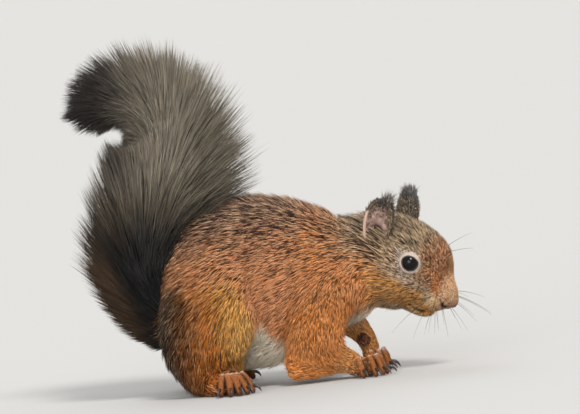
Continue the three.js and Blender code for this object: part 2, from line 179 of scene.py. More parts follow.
ARM_ROWS = {
    RIGHT: {
        "upper": [
            [31, 14, 52, 11, 9, 4.2],
            [28, 18, 43, 14.5, 11.5, 4.2],
            [23.5, 20.5, 32, 13.5, 11.5, 3.8],
            [20, 22, 22, 13.5, 10, 3.2],
            [19, 22.5, 15, 12.5, 8.5, 2.6],
        ],
        "lower": [
            [9.5, 22.5, 8.5, 7, 6.6, 2.2],
            [15, 22.6, 10, 8.4, 7.0, 2.2],
            [23, 22.2, 11, 8.6, 6.6, 2.0],
            [31, 21.4, 10, 7, 5.8, 1.5],
            [35.8, 20.8, 8.6, 5.2, 4.9, 1.0],
        ],
        "palm": [
            [36, 20.6, 6.0, 4.6, 5.2, 0.7],
            [40, 20.8, 5.0, 5.0, 6.4, 0.7],
            [44, 21.4, 4.4, 4.8, 6.4, 0.6],
        ],
        "fingers": [
            {"from": (38.0, 24.5), "tip": (41.0, 31.0)},
            {"from": (43.0, 23.5), "tip": (47.0, 30.0)},
            {"from": (45.5, 22.0), "tip": (50.5, 26.0)},
            {"from": (45.5, 19.0), "tip": (52.5, 20.5)},
        ],
    },
    LEFT: {
        "upper": [
            [31, 14, 52, 11, 9, 4.2],
            [30, 17, 44, 13, 10.5, 4.2],
            [29.5, 18, 36, 11.5, 10, 3.6],
            [29.5, 17.5, 29, 9, 8.5, 2.6],
        ],
        "lower": [
            [29, 16, 29.5, 7.5, 7.5, 2.2],
            [34.5, 13.5, 27, 7.8, 7, 2.0],
            [40, 11, 22.5, 6.6, 6, 1.6],
            [44.4, 9.5, 16.5, 5.2, 5, 1.1],
            [46.2, 8.5, 11.5, 4.6, 4.6, 0.8],
        ],
        "palm": [
            [46.2, 8.0, 7.2, 4.2, 4.8, 0.7],
            [47.2, 5.6, 5.2, 4.8, 5.6, 0.7],
            [48.4, 3.0, 4.4, 4.8, 5.6, 0.6],
        ],
        "fingers": [
            {"from": (50.6, 6.5), "tip": (55.0, 5.5)},
            {"from": (50.6, 3.0), "tip": (54.0, 0.5)},
            {"from": (48.6, 0.8), "tip": (51.0, -3.0)},
            {"from": (45.6, 1.2), "tip": (46.4, -3.4)},
        ],
    },
}
DIGIT_RADIUS = {"hind": 2.0, "fore": 1.75}
DIGIT_COAT = 0.35
DIGIT_SHARES = (0, 0.42, 0.78, 1)           # root, raised knuckle, last joint and tip along a digit
DIGIT_WIDTHS = (0.95, 1.05, 0.95, 0.9)      # radius at each of them, as a share of the digit's
DIGIT_ROOT_HEIGHT = 6.4
DIGIT_KNUCKLE_HEIGHT = 9.2
DIGIT_LAST_JOINT = 0.62       # height of the last joint as a share of the knuckle's
DIGIT_TIP_LIFT = 0.75         # height of the tip's middle as a share of the radius
DIGIT_STEPS = 2               # rings for each span of a digit
DIGIT_RINGS = 7               # rows of a smoothed digit; a smoothed palm has as many and counts as one
CLAW_LENGTH = {"hind": 5.2, "fore": 5.6}


# ------------------------------------------------------------------ colour and noise
def linear(hex_colour):
    """Linear RGB of an sRGB hex colour: ((c + 0.055) / 1.055) ** 2.4, or c / 12.92 below 0.04045."""
    channels = np.array([int(hex_colour[i:i + 2], 16) / 255 for i in (1, 3, 5)])
    return np.where(channels <= 0.04045, channels / 12.92, ((channels + 0.055) / 1.055) ** 2.4)


def ramp(value, low, high):
    """Smooth step from 0 at `low` to 1 at `high`: 3 s squared less 2 s cubed."""
    share = np.clip((value - low) / (high - low), 0.0, 1.0)
    return share * share * (3 - 2 * share)


def mix(first, second, share):
    """Blend of two colours, or two arrays of them, by a share for each point."""
    share = np.asarray(share)[..., None]
    return first * (1 - share) + second * share


BRIGHTEST = 0.85              # no channel of a shaded colour passes this


def shade(colour, tone):
    """Colours made lighter or darker by a factor for each, all channels held back together at BRIGHTEST."""
    lit = colour * np.asarray(tone)[..., None]
    return lit / np.maximum(lit.max(-1, keepdims=True) / BRIGHTEST, 1)


LATTICE = np.random.default_rng(11).uniform(-1, 1, 8192)
LATTICE_SHIFT = 512.0         # cells added to every place, which keeps them above zero
HASH_FACTORS = (73856093, 19349663, 83492791)
SEED_FACTOR = 2654435


def cell_corners(share):
    """Each corner of a grid cell with its weight, the product of its three shares of the way across."""
    for corner in np.ndindex(2, 2, 2):
        sides = np.where(corner, share, 1 - share)
        yield corner, sides[..., 0] * sides[..., 1] * sides[..., 2]


def noise(points, size, seed):
    """Value noise from -1 to 1: random values on a lattice of `size` mm, blended with an eased cubic."""
    place = points / size + LATTICE_SHIFT
    first = np.floor(place).astype(np.int64)
    share = place - first
    total = 0.0
    for corner, weight in cell_corners(share * share * (3 - 2 * share)):
        hashed = (first + corner) * HASH_FACTORS
        key = hashed[..., 0] ^ hashed[..., 1] ^ hashed[..., 2] ^ (seed * SEED_FACTOR)
        total = total + weight * LATTICE[key % len(LATTICE)]
    return total


def noise_vector(points, size, seed):
    """Three independent noises as a vector."""
    return np.stack([noise(points, size, seed + i) for i in range(3)], axis=-1)


def unit(vectors):
    """Vectors scaled to length 1."""
    return vectors / np.maximum(np.linalg.norm(vectors, axis=-1, keepdims=True), 1e-9)


def flattened(vectors, normals):
    """The part of each vector square to its normal, at length 1."""
    return unit(vectors - normals * np.sum(vectors * normals, axis=-1, keepdims=True))


# ------------------------------------------------------------------ chains of tapered tubes
def smooth_rows(rows, per_span):
    """Catmull-Rom curve through the rows: a cubic for each span and column, through both its ends."""
    rows = np.asarray(rows, float)
    padded = np.vstack([2 * rows[0] - rows[1], rows, 2 * rows[-1] - rows[-2]])
    out = []
    for i in range(len(rows) - 1):
        a, b, c, d = padded[i:i + 4]
        for s in np.arange(per_span) / per_span:
            out.append(0.5 * (2 * b + (c - a) * s + (2 * a - 5 * b + 4 * c - d) * s**2
                              + (3 * b - a - 3 * c + d) * s**3))
    return np.array(out + [rows[-1]])


def along_rows(rows, share):
    """Row of a smooth chain at each share of its length, 0 at the root and 1 at the tip."""
    place = np.clip(share, 0, 1) * (len(rows) - 1)
    low = np.minimum(place.astype(int), len(rows) - 2)
    part = (place - low)[:, None]
    return rows[low] * (1 - part) + rows[low + 1] * part


def side_rows(rows, side):
    """Rows moved to the frame's origin, with y turned to one side of the body."""
    rows = np.array(rows, float)
    rows[:, 0] -= BOX_MIDDLE_X
    rows[:, 1] *= side
    return rows


def digit_rows(start, tip, radius, side):
    """A bent digit: root, raised knuckle, last joint and tip, with its tip's middle just above the floor."""
    start, tip = np.array(start, float), np.array(tip, float)
    last_joint = DIGIT_KNUCKLE_HEIGHT * DIGIT_LAST_JOINT
    heights = (DIGIT_ROOT_HEIGHT, DIGIT_KNUCKLE_HEIGHT, last_joint, radius * DIGIT_TIP_LIFT)
    rows = []
    for share, height, width in zip(DIGIT_SHARES, heights, DIGIT_WIDTHS):
        x, y = start + (tip - start) * share
        rows.append([x, y, height, radius * width, radius * width, DIGIT_COAT])
    return side_rows(rows, side)


def hind_digits():
    """Start and tip, in plan, of each hind toe: the toes spread from the ball of the foot."""
    for toe in HIND_TOES:
        tip = np.array(toe["tip"])
        away = (HIND_BALL - tip) / np.linalg.norm(HIND_BALL - tip)
        yield tip + away * toe["reach"], tip


def make_chains():
    """
    Every chain of the body: its region and rows, the way across it, how softly it joins, how its ends are
    rounded, and its flow, which is 1 where the coat lies along the chain and -1 where it lies back.
    """
    chains = []

    def chain(region, rows, across, blend, flow=1, per_span=3, cap=1.0):
        chains.append({
            "region": region, "rows": smooth_rows(rows, per_span), "across": across, "blend": blend,
            "flow": flow, "cap": cap,
        })

    head = np.array([[*in_head(a, 0, c), h, w, d] for a, c, h, w, d in HEAD_ROWS])
    chain("trunk", side_rows(TRUNK_ROWS, 1), ACROSS_AXIS, 5.0, flow=-1)
    chain("head", head, TO_LEFT, 6.0, flow=-1, cap=0.5)
    chain("tail", side_rows(TAIL_CORE_ROWS, 1), ACROSS_AXIS, 2.0)
    for _, side in SIDES:
        chain("thigh", side_rows(THIGH_ROWS, side), ACROSS_AXIS, 5.0)
        chain("hind_foot", side_rows(HIND_FOOT_ROWS, side), np.array([1.0, -0.6 * side, 0]), 1.5)
        for start, tip in hind_digits():
            rows = digit_rows(start, tip, DIGIT_RADIUS["hind"], side)
            chain("hind_foot", rows, np.array([1.0, 0.3, 0]), 0.8, per_span=DIGIT_STEPS)
        arm = ARM_ROWS[side]
        chain("upper_arm", side_rows(arm["upper"], side), ACROSS_AXIS, 6.0)
        chain("forearm", side_rows(arm["lower"], side), ACROSS_AXIS, 4.0)
        chain("fore_foot", side_rows(arm["palm"], side), ACROSS_AXIS, 1.8)
        for finger in arm["fingers"]:
            rows = digit_rows(finger["from"], finger["tip"], DIGIT_RADIUS["fore"], side)
            chain("fore_foot", rows, ACROSS_AXIS + 0.01, 0.7, per_span=DIGIT_STEPS)
    return chains


# How far a tube's inner joints run on past their mitre, as a share of the radius.
MITRE_CAP = 0.12


def mitres(rows, cap):
    """
    For each tube of a chain: its two rows, the planes that end it and how far it is rounded past each. Inside
    the chain the plane halves the bend, so that tubes meet in a mitre. The chain's own ends are square and
    rounded by `cap`.
    """
    ways = unit(np.diff(rows[:, :3], axis=0))
    for i, (a, b) in enumerate(zip(rows[:-1], rows[1:])):
        first, last = i == 0, i == len(ways) - 1
        start = ways[i] if first else unit(ways[i - 1] + ways[i])
        end = ways[i] if last else unit(ways[i] + ways[i + 1])
        yield a, b, (start, end, cap if first else MITRE_CAP, cap if last else MITRE_CAP)


def segment_distance(x, y, z, a, b, across, ends):
    """
    Distance to a tapered tube of elliptical section between rows a and b. With k0 the point's offset counted
    in half sizes and k1 the same counted in squared half sizes, the distance is close to k0 (k0 - 1) / k1.
    The coat's depth is taken off the half sizes. `ends` holds the normals of the planes at a and b and the
    length of the rounding past them as a share of the radius.
    """
    axis = b[:3] - a[:3]
    length = float(np.linalg.norm(axis))
    along = axis / length
    side = across - along * float(across @ along)
    side = side / np.linalg.norm(side)
    up = np.cross(along, side)
    dx, dy, dz = x - a[0], y - a[1], z - a[2]
    run = dx * along[0] + dy * along[1] + dz * along[2]
    share = np.clip(run / length, 0, 1)
    start, end, start_cap, end_cap = ends
    before = -(dx * start[0] + dy * start[1] + dz * start[2])
    after = dx * end[0] + dy * end[1] + dz * end[2] - float(axis @ end)
    over = np.maximum(np.maximum(before / start_cap, after / end_cap), 0)
    s = dx * side[0] + dy * side[1] + dz * side[2]
    u = dx * up[0] + dy * up[1] + dz * up[2]
    depth = a[5] + (b[5] - a[5]) * share
    high = a[3] + (b[3] - a[3]) * share - depth
    wide = a[4] + (b[4] - a[4]) * share - depth
    small = np.minimum(high, wide)
    s2, u2, o2 = (s / wide) ** 2, (u / high) ** 2, (over / small) ** 2
    k0 = np.sqrt(s2 + u2 + o2)
    k1 = np.sqrt(s2 / wide**2 + u2 / high**2 + o2 / small**2) + 1e-6
    return k0 * (k0 - 1) / k1


def segment_reach(points, start, end):
    """Distance of points from a line between two ends, and the share of the way along it."""
    start, end = np.array(start), np.array(end)
    line = end - start
    share = np.clip((points - start) @ line / (line @ line), 0, 1)
    return np.linalg.norm(points - start - share[:, None] * line, axis=1), share


def spans(path):
    """The two ends of each span of a path."""
    return list(zip(path[:-1], path[1:]))


def lines_reach(points, lines):
    """Distance of points from the nearest of several lines, each given by its two ends."""
    return np.min([segment_reach(points, start, end)[0] for start, end in lines], axis=0)


def soft_min(first, second, blend):
    """Smaller of two distances, rounded over where they differ by less than `blend`."""
    near = np.maximum(blend - np.abs(first - second), 0) / blend
    return np.minimum(first, second) - near * near * blend / 4


# ------------------------------------------------------------------ the body's field on a grid
class Field:
    """Distances to the skin on a regular grid, filled block by block."""

    def __init__(self, low, high, step):
        self.low = np.array(low, float)
        self.step = step
        self.shape = tuple(np.ceil((np.array(high) - self.low) / step).astype(int) + 1)
        self.values = np.full(self.shape, FAR, np.float32)

    def block(self, low, high):
        """Index ranges, and the x, y and z of grid points, of the block between two corners."""
        first = np.maximum(np.floor((low - self.low) / self.step).astype(int), 0)
        last = np.minimum(np.ceil((high - self.low) / self.step).astype(int) + 1, self.shape)
        last = np.maximum(last, first)
        where = tuple(slice(a, b) for a, b in zip(first, last))
        axes = [self.low[i] + self.step * np.arange(first[i], last[i], dtype=np.float32) for i in range(3)]
        x, y, z = axes[0][:, None, None], axes[1][None, :, None], axes[2][None, None, :]
        return where, x, y, z

    def add_chain(self, chain):
        """Joins a chain softly to what is there."""
        rows = chain["rows"]
        margin = rows[:, 3:5].max() + FIELD_REACH
        whole, *_ = self.block(rows[:, :3].min(0) - margin, rows[:, :3].max(0) + margin)
        own = np.full_like(self.values[whole], FAR)
        corner = [part.start for part in whole]
        for a, b, ends in mitres(rows, chain["cap"]):
            reach = max(a[3], a[4], b[3], b[4]) + FIELD_REACH
            where, x, y, z = self.block(np.minimum(a, b)[:3] - reach, np.maximum(a, b)[:3] + reach)
            local = tuple(slice(part.start - c, part.stop - c) for part, c in zip(where, corner))
            distance = segment_distance(x, y, z, a, b, chain["across"], ends)
            own[local] = np.minimum(own[local], distance)
        self.values[whole] = soft_min(self.values[whole], own, chain["blend"])

    def change(self, centre, reach, rule):
        """Applies rule(old values, x, y, z) to the block around a point."""
        where, x, y, z = self.block(centre - reach, centre + reach)
        self.values[where] = rule(self.values[where], x - centre[0], y - centre[1], z - centre[2])

    def at(self, points):
        """Field at any points, by trilinear interpolation."""
        place = np.clip((points - self.low) / self.step, 0, np.array(self.shape) - 1.001)
        first = place.astype(int)
        total = 0.0
        for corner, weight in cell_corners(place - first):
            total = total + weight * self.values[tuple((first + corner).T)]
        return total

    def slope(self, points):
        """Gradient of the field, from differences over one grid step each way."""
        grid = np.eye(3) * self.step
        return np.stack([self.at(points + g) - self.at(points - g) for g in grid], axis=-1) / (2 * self.step)

    def surface(self):
        """
        Surface net of the zero level: one vertex in each cell that the level crosses, at the mean of the
        crossings on its edges, and one quad for each crossed grid edge.
        """
        values, shape = self.values, np.array(self.shape)
        inside = values < 0
        strides = np.array([shape[1] * shape[2], shape[2], 1])
        cells, places, quads = [], [], []
        for axis in range(3):
            near = [slice(1, -1)] * 3
            near[axis] = slice(0, -1)
            far = list(near)
            far[axis] = slice(1, None)
            near, far = tuple(near), tuple(far)
            crossed = np.argwhere(inside[near] != inside[far])
            start = crossed + [0 if i == axis else 1 for i in range(3)]
            end = start.copy()
            end[:, axis] += 1
            before, after = values[tuple(start.T)], values[tuple(end.T)]
            place = start.astype(float)
            place[:, axis] += before / (before - after)
            others = [i for i in range(3) if i != axis]
            corners = []
            for da, db in ((0, 0), (1, 0), (1, 1), (0, 1)):
                cell = start.copy()
                cell[:, others[0]] -= da
                cell[:, others[1]] -= db
                code = cell @ strides
                corners.append(code)
                cells.append(code)
                places.append(place)
            quad = np.stack(corners, axis=1)
            flip = (before < 0) ^ (axis == 1)
            quad[~flip] = quad[~flip][:, ::-1]
            quads.append(quad)
        codes, index = np.unique(np.concatenate(cells), return_inverse=True)
        places = np.concatenate(places)
        count = np.bincount(index)
        points = np.stack([np.bincount(index, places[:, i]) / count for i in range(3)], axis=1)
        faces = np.searchsorted(codes, np.concatenate(quads))
        return self.low + points * self.step, faces


def blob(halves, axes):
    """Distance rule of an ellipsoid with half sizes along the rows of `axes`, from offsets to its middle."""
    halves = np.asarray(halves, float)

    def distance(dx, dy, dz):
        local = [(dx * row[0] + dy * row[1] + dz * row[2]) for row in axes]
        k0 = np.sqrt(sum((v / h) ** 2 for v, h in zip(local, halves)))
        k1 = np.sqrt(sum((v / h**2) ** 2 for v, h in zip(local, halves))) + 1e-6
        return k0 * (k0 - 1) / k1

    return distance


# Soft forms of the face in the head's frame: ahead, out, up, half sizes the same ways, softness of the join.
FACE_FORMS = [
    (8.0, 11.6, 10.8, 6.5, 3.0, 2.6, 3.0),      # brow
    (2.0, 11.6, -6.0, 9.0, 5.0, 8.0, 5.0),      # cheek
    (26.0, 4.3, -6.0, 4.8, 3.6, 4.6, 2.5),      # whisker pad
    (17.0, 2.2, -14.0, 8.4, 4.8, 2.7, 2.0),     # lower jaw
]
# Lines of the face: the path in the head's frame, the radius of its groove in the skin, how far from it the
# first hairs grow, and the width of its dark colour, which is partly the skin of lip and nostril and partly
# painted shade in the crease.
FACE_LINES = {
    "mouth": {
        "path": [(32.2, 0.6, -8.4), (29.8, 2.6, -10.6), (27.0, 4.4, -12.2), (23.8, 5.8, -13.0),
                 (20.4, 7.3, -13.2), (17.0, 8.6, -12.6)],
        "groove": 0.6, "bare": 0.75, "width": 1.3,
    },
    "nostril": {
        "path": [(28.8, 5.0, -3.4), (29.8, 4.9, -5.0), (31.2, 3.9, -6.0), (32.8, 2.6, -6.6)],
        "groove": 0.75, "bare": 1.3, "width": 1.2,
    },
}
GROOVE_SOFTNESS = 0.6
COLLAR_HEIGHT = 0.5           # flesh round an eye, measured from the eyeball
COLLAR_FRONT = 2.2            # how far ahead of the eye's centre that flesh ends
COLLAR_SOFTNESS = 1.6
SOCKET_OVERLAP = 0.1          # how far the flesh reaches into the eyeball
CARPAL_PAD = np.array([41.0, 4.6, 16.2])      # the hard pad behind the wrist of the left fore limb
CARPAL_PAD_HALVES = (2.2, 2.4, 2.6)
CARPAL_PAD_SOFTNESS = 0.8
FIELD_MARGIN = 4              # how far the grid goes past the CAD box
SOLE_HEIGHT = 0.05            # the skin ends this far above the floor


def eye_frame(side):
    """Centre of an eye and its own axes: along the opening, up the opening, and out of the head."""
    ahead, out, up = EYE_PLACE
    centre = in_head(ahead, side * out, up)
    look = unit(EYE_AXIS * [1, side, 1]) @ HEAD_AXES
    along = flattened(AHEAD - 0.12 * HEAD_UP, look)
    return centre, along, np.cross(look, along) * side, look


def make_body_field():
    """The whole body's field: chains, face forms, eye sockets, face lines, wrist pad and floor."""
    low, high = CAD_LOW - FIELD_MARGIN, CAD_HIGH + FIELD_MARGIN
    field = Field(low, high, GRID_STEP)
    for chain in CHAINS:
        field.add_chain(chain)

    def join(centre, halves, axes, blend, reach):
        form = blob(halves, axes)
        field.change(centre, reach, lambda old, x, y, z: soft_min(old, form(x, y, z), blend))

    for a, b, c, *halves, blend in FACE_FORMS:
        for _, side in SIDES:
            join(in_head(a, side * b, c), halves, HEAD_AXES, blend, max(halves) + 8)
    for _, side in SIDES:
        centre, _, _, look = eye_frame(side)

        def socket(old, x, y, z):
            radius = np.sqrt(x * x + y * y + z * z)
            out = x * look[0] + y * look[1] + z * look[2]
            collar = np.maximum(radius - EYE_RADIUS - COLLAR_HEIGHT, out - COLLAR_FRONT)
            return np.maximum(soft_min(old, collar, COLLAR_SOFTNESS), EYE_RADIUS - SOCKET_OVERLAP - radius)

        field.change(centre, EYE_RADIUS + 6, socket)
        for line in FACE_LINES.values():
            radius = line["groove"]
            rows = smooth_rows([[*in_head(a, side * b, c), radius, radius, 0] for a, b, c in line["path"]], 4)
            for p, q, ends in mitres(rows, 1.0):
                middle = (p[:3] + q[:3]) / 2

                def groove(old, x, y, z):
                    cut = segment_distance(x + middle[0], y + middle[1], z + middle[2], p, q, TO_LEFT, ends)
                    return -soft_min(-old, cut, GROOVE_SOFTNESS)

                field.change(middle, 5.0, groove)
    join(CARPAL_PAD, CARPAL_PAD_HALVES, np.eye(3), CARPAL_PAD_SOFTNESS, 8.0)
    _, _, _, z = field.block(low, high)
    field.values = np.maximum(field.values, SOLE_HEIGHT - z)
    return field


# ------------------------------------------------------------------ meshes from arrays
def new_object(name, vertices, faces, smooth=True):
    """Mesh object from vertices in mm and equal-sided faces, filled straight from the arrays."""
    mesh = bpy.data.meshes.new(name)
    faces = np.asarray(faces, np.int32)
    mesh.vertices.add(len(vertices))
    mesh.vertices.foreach_set("co", (np.asarray(vertices) * MM).astype(np.float32).ravel())
    mesh.loops.add(faces.size)
    mesh.loops.foreach_set("vertex_index", faces.ravel())
    mesh.polygons.add(len(faces))
    mesh.polygons.foreach_set("loop_start", np.arange(0, faces.size, faces.shape[1], dtype=np.int32))
    mesh.polygons.foreach_set("use_smooth", np.full(len(faces), smooth))
    mesh.update(calc_edges=True)
    piece = bpy.data.objects.new(name, mesh)
    bpy.context.scene.collection.objects.link(piece)
    return piece


def set_colour(piece, colours):
    """Stores linear RGB for each vertex as the attribute coat_colour."""
    rgba = np.concatenate([colours, np.ones((len(colours), 1))], axis=1).astype(np.float32)
    layer = piece.data.attributes.new("coat_colour", "FLOAT_COLOR", "POINT")
    layer.data.foreach_set("color", rgba.ravel())


def finish_piece(piece, material, slot, *replaced):
    """Gives a piece its material and its body, and hides the CAD nodes it stands for; its record slot is not
    used.
    """
    piece.data.materials.append(material)
    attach(piece, "root")
    if replaced:
        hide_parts(*replaced)


def grid_faces(rows, columns, closed):
    """Quads of a rows by columns sheet of vertices, joined round its columns where closed."""
    r = np.arange(rows - 1)[:, None]
    c = np.arange(columns if closed else columns - 1)[None, :]
    n = (c + 1) % columns
    corners = [r * columns + c, r * columns + n, (r + 1) * columns + n, (r + 1) * columns + c]
    return np.stack(corners, axis=-1).reshape(-1, 4)


def ball_grid(rings, sides):
    """Unit ball from pole to pole: (cos turn, sin turn cos round, sin turn sin round)."""
    turn = np.linspace(0, np.pi, rings)[:, None]
    round_ = 2 * np.pi * np.arange(sides)[None] / sides
    return np.stack([
        np.cos(turn) * np.ones_like(round_), np.sin(turn) * np.cos(round_), np.sin(turn) * np.sin(round_),
    ], axis=-1)


def swept(spines, radii, sides, aspect=1.0):
    """
    Vertices of a tube about each spine. A ring lies square to its spine, at radius r:
    spine + r (cos a side + aspect sin a up). Spines is (N, K, 3), radii (N, K).
    """
    tangent = unit(np.gradient(spines, axis=1))
    side = unit(np.cross(tangent, UP_AXIS + 1e-3))
    up = np.cross(side, tangent)
    angle = 2 * np.pi * np.arange(sides) / sides
    ring = side[:, :, None] * np.cos(angle)[:, None] + aspect * up[:, :, None] * np.sin(angle)[:, None]
    return spines[:, :, None] + ring * radii[:, :, None, None]


# ------------------------------------------------------------------ regions, lie and colour of the coat
REGIONS = ["trunk", "head", "thigh", "hind_foot", "upper_arm", "forearm", "fore_foot", "tail"]
REGION_SOFTNESS = 2.0
UNWRAP_TILES = 6              # the chains' unwraps stand in rows of this many square tiles
UNWRAP_MARGIN = 0.04          # free edge of a tile, as a share of it
UNKNOWN = 1e3                 # a distance greater than any on the body


def survey(points):
    """
    For each point: its share in each region, the lie of the coat there, the coat's depth, and its place on
    an unwrap of the chains. Shares fall off as exp(-distance / softness). Lie and depth are means by them.
    """
    best = np.full((len(REGIONS), len(points)), UNKNOWN)
    lies = np.zeros((len(REGIONS), len(points), 3))
    depths = np.zeros((len(REGIONS), len(points)))
    nearest = np.full(len(points), UNKNOWN)
    unwrap = np.zeros((len(points), 2))
    x, y, z = points.T
    for number, chain in enumerate(CHAINS):
        rows, across = chain["rows"], chain["across"]
        region = REGIONS.index(chain["region"])
        tile = np.array([number % UNWRAP_TILES, number // UNWRAP_TILES])
        for i, (a, b, ends) in enumerate(mitres(rows, chain["cap"])):
            distance = segment_distance(x, y, z, a, b, across, ends)
            axis = b[:3] - a[:3]
            along = axis / np.linalg.norm(axis)
            share = np.clip((points - a[:3]) @ along / np.linalg.norm(axis), 0, 1)
            closer = distance < best[region]
            best[region] = np.where(closer, distance, best[region])
            lies[region][closer] = along * chain["flow"]
            depths[region] = np.where(closer, a[5] + (b[5] - a[5]) * share, depths[region])
            first = distance < nearest
            nearest = np.where(first, distance, nearest)
            offset = points - a[:3] - share[:, None] * axis
            side = unit(across - along * (across @ along))
            turn = np.arctan2(offset @ np.cross(along, side), offset @ side) / (2 * np.pi) + 0.5
            run = (i + share) / (len(rows) - 1)
            spread = np.stack([run, turn], axis=1)
            place = (tile + UNWRAP_MARGIN + (1 - 2 * UNWRAP_MARGIN) * spread) / UNWRAP_TILES
            unwrap[first] = place[first]
    weight = np.exp(-(best - best.min(0)) / REGION_SOFTNESS)
    weight /= weight.sum(0)
    lie = np.einsum("rn,rnk->nk", weight, lies)
    depth = np.einsum("rn,rn->n", weight, depths)
    return dict(zip(REGIONS, weight)), lie, depth, unwrap


def coat_lie(points, normals, share, lie):
    """
    The way the hair points: back along the trunk and a little down the flanks, from the nose back over the
    head, down the limbs to the toes; small smooth noise makes it wander.
    """
    head = to_head(points)
    sideways = np.sign(points[:, 1:2]) * ACROSS_AXIS
    down = -UP_AXIS
    trunk = lie + 0.3 * down * (1 - np.abs(normals[:, 2:3])) + 0.1 * sideways
    face_side = np.sign(head[:, 1:2]) * TO_LEFT
    low_face = ramp(-head[:, 2], -4, 10)[:, None]
    face = -AHEAD + 0.25 * face_side + 0.5 * low_face * -HEAD_UP + 0.25 * (1 - low_face) * HEAD_UP
    thigh = lie + (0.15 + 0.75 * ramp(points[:, 2:3], 30, 58)) * np.array([-1.0, 0, 0])
    rest = 1 - share["trunk"] - share["head"] - share["thigh"]
    total = (
        trunk * share["trunk"][:, None] + face * share["head"][:, None] + thigh * share["thigh"][:, None]
        + lie * rest[:, None]
    )
    total += 0.14 * noise_vector(points, 9.0, 3) + 0.07 * noise_vector(points, 2.4, 17)
    return flattened(total, normals)


COAT = {name: linear(value) for name, value in {
    "back": "#76594a", "flank": "#c28459", "shoulder": "#c7834c", "neck": "#86705a",
    "belly": "#f8eed8", "rump": "#7a4c2c", "thigh": "#a4601f", "thigh_rear_and_shade": "#241206",
    "thigh_front": "#f6b95e",
    "arm": "#fba254", "arm_front": "#ffbd70", "foot": "#aa642d", "knuckle": "#dcc2b3", "foot_shade": "#3a2216",
    "sole": "#6b4a40", "pad": "#5d3124",
    "crown": "#87745e", "bridge": "#7c4a24", "under_eye": "#a09080", "cheek": "#eaa654",
    "whisker_pad": "#dcc096",
    "stripe": "#985c2c", "muzzle": "#b08b68", "jaw": "#d3b48c", "eye_ring": "#b9aa9b",
    "throat": "#f6e2bc", "mouth": "#2c1c16", "nostril": "#2e1412",
    "tail": "#33291f",
}.items()}
IN_PLAN = np.array([1, 1, 0])
EYE_RING_SHAPE = (1.12, 0.3)  # the pale ring's length by its height, and its rise over the eye's middle


def knuckles_and_digits():
    """Knuckle places, and the two ends of each digit's line, of all four feet."""
    digits = [chain["rows"] for chain in CHAINS
              if chain["region"] in ("hind_foot", "fore_foot") and len(chain["rows"]) == DIGIT_RINGS]
    joints = np.array([rows[DIGIT_STEPS, :3] for rows in digits])
    return joints, np.array([(rows[0, :3], rows[-1, :3]) for rows in digits])


def layered(first, *layers):
    """A colour with others of the coat laid over it in turn, each by its own share."""
    for name, share in layers:
        first = mix(first, COAT[name], share)
    return first


